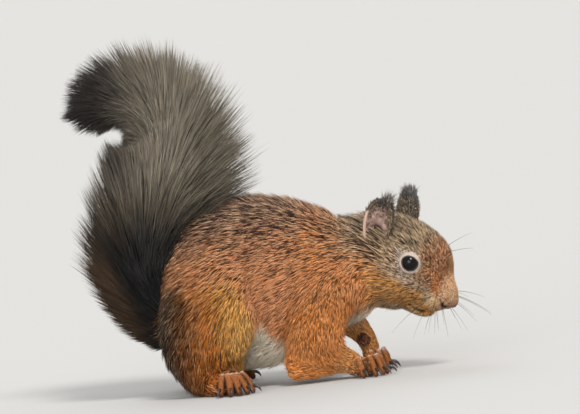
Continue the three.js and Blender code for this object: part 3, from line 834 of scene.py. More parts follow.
def markings(points, normals, share):
    """Linear RGB of the coat at each point, blended from named colours by smooth steps in millimetres."""
    x, y, z = points.T
    inward, down = -np.abs(y), -normals[:, 2]
    wander = 3.0 * noise(points, 9.0, 31) + 1.2 * noise(points, 3.0, 41)
    # trunk: grey-brown back, rusty flank, cream belly and chest
    top = ramp(z + wander, 56, 84)
    belly_line = 35 - 16 * ramp(x, -4, 6) + 12 * ramp(x, 22, 32) + 5 * ramp(x, 36, 42)
    belly = 1 - ramp(z + 0.8 * wander, belly_line - 4, belly_line + 3)
    belly = np.maximum(belly, ramp(down, 0.45, 0.75) * ramp(38 - z, 0, 8)) * ramp(x, -48, -36)
    trunk = layered(
        COAT["flank"],
        ("back", top),
        ("shoulder", ramp(x, 8, 28) * (1 - top) * 0.8),
        ("rump", (1 - ramp(x + wander, -52, -30)) * 0.8),
        ("neck", ramp(x + 1.5 * wander, 26, 46) * ramp(z, 48, 66)),
        ("belly", belly),
        # painted shade: near black at the rear of the trunk by the midline, under the root of the tail
        ("thigh_rear_and_shade", ramp(-x, 42, 50) * ramp(inward, -16, -8) * 0.9),
    )
    # thigh: rusty, dark behind, golden in front
    thigh = layered(
        COAT["thigh"],
        ("thigh_rear_and_shade", 1 - ramp(x - 0.2 * z + wander, -56, -34)),
        ("flank", ramp(z + wander, 48, 62) * 0.8),
        ("thigh_front", ramp(x + 0.7 * wander, -30, -15) * ramp(-z, -62, -44)),
        ("belly", ramp(inward, -16, -10) * ramp(-z, -40, -25)),
    )
    # fore limb: rusty, golden in front, cream inside, with a dark pad behind the wrist
    inner = ramp(-normals[:, 1] * np.sign(y), 0.3, 0.8)
    arm = layered(
        COAT["arm"],
        ("shoulder", ramp(z, 30, 46)),
        ("arm_front", ramp(x - z * 0.4 + wander, 20, 26) * ramp(-z, -34, -24) * 0.6),
        ("belly", inner * ramp(z, 10, 20) * (x < 30) * 0.7),
        ("pad", 1 - ramp(np.linalg.norm(points - CARPAL_PAD, axis=1), 2.8, 3.6)),
    )
    # feet: pale knuckles, painted shade between the digits and low on the feet by the floor, dark heels and
    # bare soles
    joints, digits = KNUCKLES
    knuckle_gap = np.min(np.linalg.norm(points[:, None] - joints[None] - [0, 0, 1.5], axis=2), axis=1)
    digit_gap = lines_reach(points * IN_PLAN, digits * IN_PLAN)
    foot = layered(
        COAT["foot"],
        ("knuckle", 1 - ramp(knuckle_gap + 0.1 * wander, 0.8, 1.7)),
        # painted shade: dark between the digits and low on the feet by the floor
        ("foot_shade", ramp(digit_gap, 1.1, 1.6) * (1 - ramp(digit_gap, 3.6, 4.6)) * ramp(-z, -12, -9)),
        ("foot_shade", (1 - ramp(z, 1.0, 3.4)) * 0.6),
        ("thigh_rear_and_shade", ramp(digit_gap, 8, 20) * ramp(-x, 26, 40) * 0.8),
        ("sole", ramp(down, 0.3, 0.6)),
    )
    # head: grey-brown crown, dark bridge, golden cheek, mottled muzzle, pale jaw, throat and eye ring
    a, b, c = to_head(points).T
    folded = np.stack([a, np.abs(b), c], 1)
    under = np.exp(-(((a - 12) / 7) ** 2 + ((c + 0.5) / 4.0) ** 2))
    head = layered(
        COAT["crown"],
        ("bridge", ramp(a + wander * 0.6, 9, 17) * ramp(c - 0.3 * a, -10, -4) * 0.92),
        ("under_eye", under * 0.8),
        ("cheek", ramp(-(c + 0.1 * a) + 0.6 * wander, 0.5, 6.5)),
        ("muzzle", ramp(a + 0.4 * wander, 24, 28.5)),
    )
    head = head * (1 + 0.3 * ramp(a, 16, 24) * noise(points, 0.7, 61))[:, None]
    stripe, _ = segment_reach(folded, (22.5, 8.5, 6.5), (25.2, 7.0, -1.6))
    spot = np.linalg.norm(folded - (24.2, 7.0, -5.2), axis=1)
    head = layered(
        head,
        ("stripe", (1 - ramp(stripe + 0.3 * wander, 1.0, 3.0)) * 0.9),
        ("whisker_pad", (1 - ramp(spot + 0.3 * wander, 2.0, 5.0)) * 0.9),
        ("jaw", ramp(-(c + 0.05 * a), 12.8, 14.6) * ramp(a, 2, 10)),
        ("throat", ramp(-(c + 0.1 * a), 17, 21) * ramp(-a, -14, -2) * 0.7),
    )
    # dark mouth and nostril lines: partly the dark skin there, partly painted shade in their creases
    for name, line in FACE_LINES.items():
        for start, end in spans(smooth_rows(line["path"], 2)):
            reach, _ = segment_reach(folded, start, end)
            head = layered(head, (name, 1 - ramp(reach, line["width"] * 0.6, line["width"] * 1.25)))
    for _, side in SIDES:
        centre, along, rise, look = eye_frame(side)
        offset = points - centre
        stretch, lift = EYE_RING_SHAPE
        reach = np.sqrt((offset @ along / stretch) ** 2 + (offset @ rise - lift) ** 2)
        front = offset @ look > -3
        head = layered(head, ("eye_ring", (1 - ramp(reach + 0.25 * wander, 4.9, 6.6)) * front * 0.9))
    colours = {"trunk": trunk, "head": head, "thigh": thigh, "upper_arm": arm, "forearm": arm,
               "hind_foot": foot, "fore_foot": foot, "tail": np.broadcast_to(COAT["tail"], trunk.shape)}
    return sum(colours[name] * share[name][:, None] for name in REGIONS)


# ------------------------------------------------------------------ tufts
PATCH = 0.003                 # side of a tuft's patch on the unwrap
TUFT_ROOF = 0.7               # height of a tuft's section as a share of its half width
ROOT_DEPTH = 0.5              # how far under the skin a hair starts
LEAST_SLOPE = 0.3             # flatter places of the field count as this steep
GREATEST_SHIFT = 3            # most that one joint of a hair moves to reach its height


def tuft_piece(name, spine, half_width, side, colours, unwrap):
    """
    One mesh of closed three-sided spikes. Ring k of a spike has its corners at spine - w side, spine + w side
    and spine + 0.7 w up; the last spine point is the tip. Colours are given for each spine point.
    """
    count, rings = spine.shape[0], spine.shape[1] - 1
    tangent = unit(np.gradient(spine, axis=1))[:, :rings]
    across = unit(side[:, None] - tangent * np.sum(side[:, None] * tangent, -1, keepdims=True))
    up = np.cross(tangent, across)
    w = half_width[:, :, None]
    base = spine[:, :rings]
    corners = np.stack([base - w * across, base + w * across, base + TUFT_ROOF * w * up], axis=2)
    vertices = np.concatenate([corners.reshape(count, rings * 3, 3), spine[:, -1:]], axis=1)
    size = rings * 3 + 1
    pattern = [(0, 1, 2)]
    for r in range(rings - 1):
        for i in range(3):
            j = (i + 1) % 3
            pattern += [(3 * r + i, 3 * r + 3 + j, 3 * r + j), (3 * r + i, 3 * r + 3 + i, 3 * r + 3 + j)]
    pattern += [(3 * rings - 3 + i, size - 1, 3 * rings - 3 + (i + 1) % 3) for i in range(3)]
    faces = (np.arange(count)[:, None, None] * size + np.array(pattern)[None]).reshape(-1, 3)
    piece = new_object(name, vertices.reshape(-1, 3), faces)
    tone = np.repeat(colours[:, :rings], 3, axis=1)
    set_colour(piece, np.concatenate([tone, colours[:, -1:]], axis=1).reshape(-1, 3))
    along = np.append(np.repeat(np.arange(rings) / rings, 3), 1.0)
    aside = np.append(np.tile([0.0, 1.0, 0.5], rings), 0.5)
    local = np.stack([aside, along], axis=1) * PATCH
    uv = (unwrap[:, None] + local[None]).reshape(-1, 2)
    layer = piece.data.uv_layers.new(name="OFBake")
    layer.data.foreach_set("uv", uv[faces.ravel()].astype(np.float32).ravel())
    return piece


def scatter(points, faces, density, count, seed):
    """Random places on the quads, as many on each as its area times its density asks."""
    rng = np.random.default_rng(seed)
    triangles = np.concatenate([faces[:, [0, 1, 2]], faces[:, [0, 2, 3]]])
    a, b, c = (points[triangles[:, i]] for i in range(3))
    area = np.linalg.norm(np.cross(b - a, c - a), axis=1) / 2
    weight = area * density[triangles].mean(1)
    chosen = rng.choice(len(triangles), int(count), p=weight / weight.sum())
    u, v = np.sqrt(rng.random(int(count))), rng.random(int(count))
    share = np.stack([1 - u, u * (1 - v), u * v], axis=1)
    return np.einsum("nk,nkj->nj", share, points[triangles[chosen]])


def laid_spines(field, roots, lie, length, height, joints):
    """
    Spines that run over the skin: each step goes on along the lie, then moves along the field's slope until
    the field equals the wanted height there.
    """
    normal = unit(field.slope(roots))
    place = roots.copy()
    way = lie
    out = [roots - ROOT_DEPTH * normal]
    step = (length / (joints - 1))[:, None]
    for k in range(1, joints):
        place = place + way * step
        target = height * (1 - (1 - k / (joints - 1)) ** 2)
        slope = field.slope(place)
        size = np.maximum(np.linalg.norm(slope, axis=1, keepdims=True), LEAST_SLOPE)
        shift = (target - field.at(place))[:, None] * slope / size**2
        place = place + np.clip(shift, -GREATEST_SHIFT, GREATEST_SHIFT)
        way = flattened(way, unit(slope))
        out.append(place)
    return np.stack(out, axis=1), normal


# ------------------------------------------------------------------ materials
def add_node(tree, kind, links=(), **settings):
    """Adds a shader node, sets its properties and input values, and links (input, socket) pairs to it."""
    node = tree.nodes.new(kind)
    for name, value in settings.items():
        if hasattr(node, name):
            setattr(node, name, value)
        else:
            node.inputs[name.replace("_", " ")].default_value = value
    for target, source in links:
        tree.links.new(source, node.inputs[target])
    return node


def new_material(name, **settings):
    """A node material with only a shader, which has the given settings, and its output."""
    material = bpy.data.materials.new(name)
    material.use_nodes = True
    tree = material.node_tree
    tree.nodes.clear()
    shader = add_node(tree, "ShaderNodeBsdfPrincipled", **settings)
    add_node(tree, "ShaderNodeOutputMaterial", [("Surface", shader.outputs["BSDF"])])
    return material, tree, shader


def coat_coloured(tree, shader):
    """Colours a surface by its own attribute coat_colour."""
    colour = add_node(tree, "ShaderNodeAttribute", attribute_name="coat_colour")
    tree.links.new(colour.outputs["Color"], shader.inputs["Base Color"])


def grained(tree, shader, grain_mm, detail, strength, depth_mm):
    """Noise with grains `grain_mm` apart, which also raises the surface by `depth_mm`."""
    place = add_node(tree, "ShaderNodeTexCoord")
    grain = add_node(tree, "ShaderNodeTexNoise", [("Vector", place.outputs["Object"])],
                     Scale=1 / (grain_mm * MM), Detail=detail)
    bump = add_node(tree, "ShaderNodeBump", [("Height", grain.outputs["Fac"])],
                    Strength=strength, Distance=depth_mm * MM)
    tree.links.new(bump.outputs["Normal"], shader.inputs["Normal"])
    return grain


def hair_material(name):
    """Animal hair, dry: keratin of index 1.55, whose scales leave a broad weak gloss."""
    material, tree, shader = new_material(name, Roughness=0.55, IOR=1.55, Specular_IOR_Level=0.25)
    coat_coloured(tree, shader)
    return material


def skin_material(name, roughness, grain_mm):
    """Skin in the colours of coat_colour, with fine bumps `grain_mm` apart."""
    material, tree, shader = new_material(name, Roughness=roughness, Specular_IOR_Level=0.3)
    coat_coloured(tree, shader)
    grained(tree, shader, grain_mm, 3.0, 0.35, 0.3)
    return material


def bare_material(name, first, second, roughness, grain_mm, strength, specular=0.5):
    """Eye, lid, horn or whisker: a colour mottled with a second by noise of `grain_mm`, with its bump."""
    material, tree, shader = new_material(name, Roughness=roughness, Specular_IOR_Level=specular)
    grain = grained(tree, shader, grain_mm, 4.0, strength, 0.2)
    blend = add_node(tree, "ShaderNodeMix", [("Factor", grain.outputs["Fac"])], data_type="RGBA")
    blend.inputs[6].default_value = (*linear(first), 1)
    blend.inputs[7].default_value = (*linear(second), 1)
    tree.links.new(blend.outputs[2], shader.inputs["Base Color"])
    return material


CAD_LOW, CAD_HIGH = (np.array(corner) / MM for corner in CAD_BOX)
CHAINS = make_chains()
KNUCKLES = knuckles_and_digits()
FIELD = make_body_field()
HAIR = hair_material("hair")
SKIN = skin_material("skin", 0.75, 0.8)             # dry skin under the coat: dull
WET_SKIN = skin_material("bare_skin", 0.5, 0.5)     # bare skin of nose and ears: a soft sheen, finer grain


# ------------------------------------------------------------------ skin
BARE_NODES = ("eye_", "claw_", "ear_", "nose_")
FLESH_NODES = [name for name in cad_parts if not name.startswith(BARE_NODES)]
# the skin's darkening stands partly for the dark base of the hair and partly for painted shade beneath the
# coat
SKIN_SHADE = 0.6              # how much darker the skin is than the coat over it


def make_skin():
    """The one skin of the body, coloured like the coat but darker: partly the dark base of the hair, partly
    painted shade beneath the coat.
    """
    points, faces = FIELD.surface()
    normals = unit(FIELD.slope(points))
    share = survey(points)[0]
    piece = new_object("skin", points, faces)
    set_colour(piece, markings(points, normals, share) * SKIN_SHADE)
    finish_piece(piece, SKIN, "back_coat", *FLESH_NODES)
    return points, faces, share


SKIN_POINTS, SKIN_FACES, SKIN_SHARE = make_skin()


# ------------------------------------------------------------------ eyes
# Profiles of the bands round an eye: angle past the opening's edge, height over the eyeball.
LID_PROFILE = [
    (-0.02, 0.1), (0.0, 0.4), (0.08, 0.75), (0.2, 0.95),
    (0.36, 1.0), (0.54, 0.85), (0.72, 0.45), (0.85, -0.3),
]
RIM_PROFILE = [(-0.09, 0.0), (-0.07, 0.22), (-0.02, 0.42), (0.03, 0.5), (0.06, 0.3)]
LID_STEPS = 72
LID_CORNERS = [(5.6, 0.4, 0.07), (2.9, 0.3, 0.02)]      # angle, width and pull: front and back corner
LID_RIDGES = 9
RIDGE_HEIGHT = 0.012          # as a share of the radius
BALL_RINGS, BALL_SIDES = 33, 48
CORNEA = (0.6, 0.03)          # its half angle, and how far it swells as a share of the ball's radius


def lid_band(side, profile):
    """
    A band round the eye's opening. Each profile point gives an angle past the opening and a height over the
    ball: place = centre + (radius + height) (cos turn look + sin turn way). The opening is an ellipse pulled
    out to a front corner and, less, to a back one.
    """
    centre, along, rise, look = eye_frame(side)
    angle = 2 * np.pi * np.arange(LID_STEPS) / LID_STEPS
    corner = 1
    for middle, width, pull in LID_CORNERS:
        corner = corner + pull * np.exp(-((angle - middle) / width) ** 2)
    opening = np.stack([np.cos(angle), np.sin(angle)], axis=1) * EYE_OPENING * corner[:, None]
    reach = np.linalg.norm(opening, axis=1)
    way = (opening[:, :1] * along + opening[:, 1:] * rise) / reach[:, None]
    past, height = np.array(profile).T
    turn = (np.arcsin(np.minimum(reach / EYE_RADIUS, 0.97))[:, None] + past)[..., None]
    ridge = 1 + RIDGE_HEIGHT * np.sin(LID_RIDGES * angle)[:, None] * (past > 0.05)
    radius = ((EYE_RADIUS + height) * ridge)[..., None]
    points = centre + radius * (np.cos(turn) * look + np.sin(turn) * way[:, None])
    faces = grid_faces(LID_STEPS + 1, len(profile), False) % (LID_STEPS * len(profile))
    return points.reshape(-1, 3), faces if side == RIGHT else faces[:, ::-1]


def make_eyes():
    """Each eye is a ball with a slightly raised cornea, a pale band of lid and a dark wet rim inside that."""
    # Wet cornea over a black iris: a sharp small highlight.
    eye = bare_material("eye", "#030202", "#080504", 0.05, 3.0, 0.0, specular=0.25)
    # Lid, bare skin with fine down: pale and matt.
    lid = bare_material("lid", "#c9bab0", "#9d8474", 0.65, 0.45, 0.9)
    # Edge of the lid, moist dark skin: a soft gloss.
    rim = bare_material("lid_rim", "#1c1411", "#2b201b", 0.35, 0.4, 0.3)
    for word, side in SIDES:
        centre, along, rise, look = eye_frame(side)
        ball = ball_grid(BALL_RINGS, BALL_SIDES)
        cornea_width, cornea_height = CORNEA
        turn = np.linspace(0, np.pi, BALL_RINGS)[:, None, None]
        swell = EYE_RADIUS * (1 + cornea_height * np.exp(-(turn / cornea_width) ** 2))
        points = centre + swell * (ball @ np.stack([look, along, rise]))
        faces = grid_faces(BALL_RINGS, BALL_SIDES, True)
        eyeball = new_object(f"eyeball_{word}", points.reshape(-1, 3), faces)
        finish_piece(eyeball, eye, "eye", f"eye_{word}")
        lids = new_object(f"eyelids_{word}", *lid_band(side, LID_PROFILE))
        finish_piece(lids, lid, "head_coat")
        edge = new_object(f"eyelid_rim_{word}", *lid_band(side, RIM_PROFILE))
        finish_piece(edge, rim, "head_coat")


make_eyes()


# ------------------------------------------------------------------ nose
NOSE_MIDDLE = (31.0, 0.0, -3.1)
NOSE_HALVES = (4.3, 3.9, 4.6)
NOSE_RINGS, NOSE_SIDES = 72, 96
NOSTRIL_SLIT = ((2.6, 1.9, -3.4), (-1.6, 3.7, -0.9))    # inner and outer end, from the middle of the nose
NOSTRIL_WIDTH = 1.45
NOSTRIL_DEPTH = 1.7
NOSTRIL_LIP = 0.22            # height of the swelling round a nostril
NOSE_GROOVE = (0.38, 0.55)    # width and depth of the groove between the nostrils
NOSE_PEBBLES = (0.45, 0.06)   # width and height of the leather's bumps


def make_nose():
    """
    The nose is a rounded pad with a comma-shaped nostril on each side and a groove between them:
    surface = ellipsoid less depth * exp(-(distance to the slit / width) ** 2) along its normal.
    """
    ball = ball_grid(NOSE_RINGS, NOSE_SIDES).reshape(-1, 3)
    local = ball * NOSE_HALVES
    local[:, 1] *= 1 - 0.16 * ramp(-local[:, 2], 0.5, 5)
    normal = unit(ball / NOSE_HALVES)
    dark = np.zeros(len(local))
    for _, side in SIDES:
        reach, share = segment_reach(local, *(np.array(end) * (1, side, 1) for end in NOSTRIL_SLIT))
        width = NOSTRIL_WIDTH - 0.4 * share
        pit = np.exp(-((reach / width) ** 2))
        lip = np.exp(-(((reach - 1.5 * width) / 0.55) ** 2))
        local = local - normal * (NOSTRIL_DEPTH * pit * (1 - 0.4 * share) - NOSTRIL_LIP * lip)[:, None]
        # painted shade: how dark each nostril pit is made
        dark = np.maximum(dark, ramp(pit, 0.25, 0.75))
    groove_width, groove_depth = NOSE_GROOVE
    groove = np.exp(-((local[:, 1] / groove_width) ** 2))
    groove = groove * ramp(-local[:, 2], -0.6, 1.2) * ramp(local[:, 0], 0.5, 2)
    local = local - normal * (groove_depth * groove)[:, None]
    pebble_width, pebble_height = NOSE_PEBBLES
    local = local + normal * (pebble_height * noise(local, pebble_width, 5))[:, None]
    points = HEAD_CENTRE + (local + NOSE_MIDDLE) @ HEAD_AXES
    colours = mix(linear("#8f6450"), linear("#6a3c32"), ramp(-local[:, 2], 0, 3))
    colours = mix(colours, COAT["muzzle"], ramp(local[:, 2], 0, 3) * 0.7)
    colours = shade(colours, 0.8 + 0.35 * noise(local, 0.5, 8))
    # painted shade: the nostril pits and the groove between them darkened
    colours = mix(colours, COAT["nostril"], np.clip(dark + 0.5 * groove, 0, 1))
    piece = new_object("nose", points, grid_faces(NOSE_RINGS, NOSE_SIDES, True))
    set_colour(piece, colours)
    finish_piece(piece, WET_SKIN, "nose", "nose_pad")


make_nose()


# ------------------------------------------------------------------ ears
# Rows up an ear: ahead, out, up, half width, depth of the cup.
EAR_ROWS = [
    [-7.4, 14.6, -1.6, 2.2, 2.0],
    [-9.2, 15.8, 5.2, 4.8, 4.2],
    [-11.6, 16.4, 13.5, 6.6, 4.4],
    [-13.4, 16.4, 20.0, 6.6, 3.2],
    [-14.6, 16.2, 24.4, 5.2, 1.9],
    [-15.4, 16.0, 27.0, 2.2, 0.5],
]
EAR_OPENS = np.array([0.3, 0.94, -0.1])
EAR_THICKNESS = 1.0
EAR_CURL = 1.25               # half angle of the section's arc, in radians
EAR_HEIGHT = 22               # along the sheet, for the width of the fold
EAR_ROWS_UP, EAR_COLUMNS = 48, 56
EAR_FOLD = (1.5, 1.5)         # height and width of the fold across the inner face
EAR_HOLLOW = 2.2              # depth of the hollow beneath it
# Hair of each ear: hairs, place and width of its tuft across the ear from -1 to 1, the tuft's length in mm,
# share of golden hairs.
EAR_COATS = {RIGHT: (3800, 0.45, 0.22, 5.5, 0.4), LEFT: (4600, 0.0, 0.75, 5.0, 0.12)}


def ear_sheet(side, height, across, lift):
    """
    A point of the ear at share `height` up it and `across` it from back edge -1 to front edge 1, `lift` mm
    out of the cup's face. Each section is an arc: width * sin(curl v) / sin(curl) across, and
    depth * (cos(curl v) - cos curl) / (1 - cos curl) into the head.
    """
    rows = smooth_rows([[*in_head(a, side * b, c), w, d] for a, b, c, w, d in EAR_ROWS], 6)
    at = along_rows(rows, height)
    opens = unit(EAR_OPENS * [1, side, 1]) @ HEAD_AXES
    stem = unit(rows[-1, :3] - rows[0, :3])
    wide = flattened(AHEAD - opens * (AHEAD @ opens), stem)
    bend = EAR_CURL * across
    arc = np.sin(bend) / np.sin(EAR_CURL)
    cup = (np.cos(bend) - np.cos(EAR_CURL)) / (1 - np.cos(EAR_CURL))
    place = at[:, :3] + (at[:, 3] * arc)[:, None] * wide - (at[:, 4] * cup)[:, None] * opens
    facing = unit(opens[None] * np.cos(bend)[:, None] - wide[None] * (np.sin(bend) * 0.8)[:, None])
    return place + facing * lift[:, None], facing, stem


def make_ears():
    """
    Each ear is a thin cupped sheet: the section's outline goes up the inner face and back down the outer one,
    with a swollen rim, a fold across the inner face, and a dark hollow beneath it.
    """
    around = 2 * EAR_COLUMNS
    loop = np.arange(around) / around
    share_up = np.linspace(0, 1, EAR_ROWS_UP)
    v, u = (grid.ravel() for grid in np.meshgrid(np.cos(2 * np.pi * loop), share_up))
    face = np.meshgrid(np.sin(2 * np.pi * loop), share_up)[0].ravel()
    inside = face > 0
    for word, side in SIDES:
        thick = EAR_THICKNESS * (0.55 + 0.45 * (1 - u))
        ragged = 1 - 0.05 * (0.5 + 0.5 * noise(v[:, None] * (8, 0, 0), 1.3, 9)) * ramp(u, 0.6, 1)
        round_edge = np.sign(face) * np.sqrt(np.abs(face)) * thick / 2
        rim = 0.5 * np.exp(-(((v + 0.93) / 0.11) ** 2)) * ramp(1 - u, 0.05, 0.2) * np.sign(face)
        fold_height, fold_width = EAR_FOLD
        line = np.abs(u - (0.44 - 0.12 * v)) * EAR_HEIGHT / fold_width
        fold = fold_height * np.exp(-line**2) * np.exp(-(((v - 0.15) / 0.45) ** 2)) * inside
        hollow = -EAR_HOLLOW * np.exp(-(((u - 0.3) / 0.09) ** 2 + ((v + 0.1) / 0.45) ** 2)) * inside
        points, _, _ = ear_sheet(side, u * ragged, v, round_edge + rim + fold + hollow * 0.5)
        mottle = 0.5 + 0.5 * noise(points, 1.6, 21)
        colours = mix(linear("#b79b8f"), linear("#765a50"), mottle)
        colours = mix(colours, linear("#bf9f92"), ramp(-v, 0.7, 0.95))
        under = np.exp(-(((u - 0.36 + 0.1 * v) / 0.08) ** 2)) * np.exp(-(((v - 0.05) / 0.45) ** 2))
        shadow = np.clip(1.4 * under + ramp(0.3 - u, 0, 0.1), 0, 1) * inside
        colours = mix(colours, linear("#2c1814"), shadow)
        ragged_edge = 0.09 * noise(points, 2.2, 33) - 0.16 * v
        furred = np.maximum(ramp(v + ragged_edge, 0.4, 0.65), ramp(u + ragged_edge, 0.78, 0.9))
        colours = mix(colours, linear("#4b4238"), np.maximum(furred, face < -0.15))
        top = (EAR_ROWS_UP - 1) * around
        cap = np.arange(EAR_COLUMNS - 1)
        lid = top + np.stack([cap, cap + 1, around - 2 - cap, around - 1 - cap], 1)
        faces = np.concatenate([grid_faces(EAR_ROWS_UP, around, True), lid])
        piece = new_object(f"ear_skin_{word}", points, faces)
        set_colour(piece, colours)
        finish_piece(piece, WET_SKIN, "ear", f"ear_{word}")
        make_ear_coat(word, side)


def make_ear_coat(word, side):
    """Short hair on the back of an ear, its front edge and a little inside, with a dark tuft at the top."""
    count, peak, spread, tuft_length, golden = EAR_COATS[side]
    rng = np.random.default_rng(40 + side)
    u = rng.random(count) ** 0.8
    v = rng.uniform(-1, 1, count)
    front = rng.random(count) < 0.5
    v = np.where(front & (u < 0.76), rng.uniform(0.4, 1.0, count), v)
    inside = front & (rng.random(count) < 0.22)
    v = np.where(inside, rng.uniform(-0.9, 0.6, count), v)
    lift = np.where(front, 0.5, -0.5) * EAR_THICKNESS * 0.9
    roots, facing, stem = ear_sheet(side, u * 0.97, v, lift)
    out = facing * np.where(front, 0.5, -0.4)[:, None]
    way = unit(stem + out + 0.3 * rng.standard_normal(out.shape) + 0.15 * (0.5 - v)[:, None] * -AHEAD)
    top = ramp(u, 0.6, 0.95)
    tuft = tuft_length * np.exp(-(((v - peak) / spread) ** 2))
    long = (2.0 + tuft * top) * rng.uniform(0.55, 1.1, count)
    way = unit(way - 0.42 * (top * (v - peak))[:, None] * AHEAD)
    t = np.array([0, 0.5, 1.0])[None, :, None]
    lean = (0.12 * long)[:, None] * unit(np.cross(way, facing) - 0.5 * facing)
    spine = roots[:, None] + way[:, None] * long[:, None, None] * t + lean[:, None] * t**2
    tone = np.exp(rng.normal(0, 0.45, count))
    low = mix(COAT["crown"], linear("#6b5f52"), ramp(u, 0.15, 0.5))
    base = mix(low, linear("#45464b"), top)
    gold = (rng.random(count) < golden) * (1 - 0.6 * top)
    base = mix(base, linear("#c9ae88"), gold * 0.8)
    # darker root: partly the hair's own dark base, partly painted shade deep in the coat
    colours = np.stack([shade(base, factor * tone) for factor in (0.6, 1.0, 1.3)], 1)
    width = np.repeat(0.15 * rng.uniform(0.7, 1.2, count)[:, None], 2, axis=1)
    unwrap = survey(roots)[3]
    piece = tuft_piece(f"coat_ear_{word}", spine, width, np.cross(way, facing), colours, unwrap)
    finish_piece(piece, HAIR, "ear")


# ------------------------------------------------------------------ claws and whiskers
# Stations of a claw: place past the digit's tip as a share of the claw's length, height, radius.
CLAW_ROWS = [
    (-0.3, 3.0, 0.55), (0.05, 3.7, 0.72), (0.32, 3.8, 0.7),
    (0.56, 3.2, 0.56), (0.74, 2.1, 0.36), (0.84, 0.9, 0.12),
]
CLAW_SIDES = 10
CLAW_DEPTH = 1.25             # depth of a claw's section by its width


def claw_paths():
    """Name, start and tip of the digit in plan, claw length and side of the body, for each claw."""
    for word, side in SIDES:
        for number, (start, tip) in zip((5, 4, 3, 2, 1), hind_digits()):
            yield f"claw_hind_{word}_toe{number}", np.array(start), np.array(tip), CLAW_LENGTH["hind"], side
        for number, finger in zip((5, 4, 3, 2), ARM_ROWS[side]["fingers"]):
            start, tip = np.array(finger["from"]), np.array(finger["tip"])
            yield f"claw_fore_{word}_finger{number}", start, tip, CLAW_LENGTH["fore"], side


def make_claws():
    """
    Claws are curved cones, deeper than wide, from inside the digit's end up and over, then down to just above
    the floor.
    """
    # Claw horn, worn smooth: dark brown keratin with a soft gloss, mottled with a paler brown.
    horn = bare_material("horn", "#26211f", "#4a3d36", 0.28, 0.7, 0.15)
    for name, start, tip, length, side in claw_paths():
        run = (tip - start) / np.linalg.norm(tip - start)
        rows = side_rows([[*(tip + run * length * share), z, r] for share, z, r in CLAW_ROWS], side)
        rows = smooth_rows(rows, 4)
        points = swept(rows[None, :, :3], rows[None, :, 3], CLAW_SIDES, CLAW_DEPTH)[0]
        last_ring = (len(rows) - 1) * CLAW_SIDES
        end = last_ring + np.array([[0, 1, 2, 3], [0, 3, 4, 5], [0, 5, 6, 7], [0, 7, 8, 9]])
        faces = np.concatenate([grid_faces(len(rows), CLAW_SIDES, True), end])
        piece = new_object(name + "_horn", points.reshape(-1, 3), faces)
        finish_piece(piece, horn, "claw", name)


WHISKERS = [
    # ahead, out, up of the root; ahead, out, up of its way; length; droop
    (28.5, 4.6, -1.6, 0.75, 0.75, 0.05, 23, 5),
    (27.6, 5.4, -2.8, 0.55, 0.9, 0.0, 27, 6),
    (26.4, 6.2, -1.9, 0.3, 1.0, 0.15, 29, 6),
    (28.6, 4.9, -4.2, 0.7, 0.8, -0.2, 22, 6),
    (26.6, 6.2, -4.6, 0.35, 0.95, -0.15, 28, 7),
    (24.8, 7.2, -3.6, 0.0, 1.0, 0.0, 31, 6),
    (27.2, 5.6, -6.4, 0.55, 0.8, -0.45, 20, 5),
    (25.2, 6.9, -6.8, 0.15, 0.9, -0.4, 26, 7),
    (23.4, 8.0, -5.4, -0.35, 0.95, -0.15, 31, 5),
    (23.0, 7.8, -8.0, -0.2, 0.8, -0.5, 24, 5),
    (21.6, 8.8, -6.6, -0.7, 0.75, -0.2, 28, 4),
    (14.0, 11.2, 11.2, 0.5, 0.75, 0.6, 20, 3),
    (12.4, 11.8, 12.0, 0.2, 0.8, 0.75, 22, 3),
    (6.0, 14.5, -11.0, -0.1, 0.9, -0.5, 16, 3),
    (26.0, 3.4, -12.0, 0.3, 0.5, -0.9, 12, 1),
]
WHISKER_RINGS, WHISKER_SIDES = 12, 4
WHISKER_RADIUS = 0.14


def make_whiskers():
    """Whiskers are long thin cones: place = root + length t way + droop t squared towards the floor."""
    # Whisker, a stiff black hair: smoother and glossier than the coat.
    black = bare_material("whisker", "#0b0908", "#17110e", 0.45, 0.5, 0.0)
    t = np.linspace(0, 1, WHISKER_RINGS)[:, None]
    for word, side in SIDES:
        spines = []
        for number, (ahead, out, up, *course, length, droop) in enumerate(WHISKERS):
            root = in_head(ahead, side * out * 0.93, up)
            way = unit(np.array(course) * (1, side, 1)) @ HEAD_AXES
            sway = 0.86 + 0.1 * math.sin(7.3 * number + side)
            spines.append(root + length * sway * t * way - droop * sway * t**2 * UP_AXIS)
        spines = np.stack(spines)
        radii = np.broadcast_to(WHISKER_RADIUS * (1 - 0.8 * t[:, 0]), spines.shape[:2])
        points = swept(spines, radii, WHISKER_SIDES)
        faces = grid_faces(WHISKER_RINGS, WHISKER_SIDES, True)
        first = np.arange(len(spines))[:, None, None] * WHISKER_RINGS * WHISKER_SIDES
        piece = new_object(f"whiskers_{word}", points.reshape(-1, 3), (first + faces[None]).reshape(-1, 4))
        finish_piece(piece, black, "head_coat")


make_ears()
make_claws()
make_whiskers()


# ------------------------------------------------------------------ coat of the body
COAT_STEP = 1.0
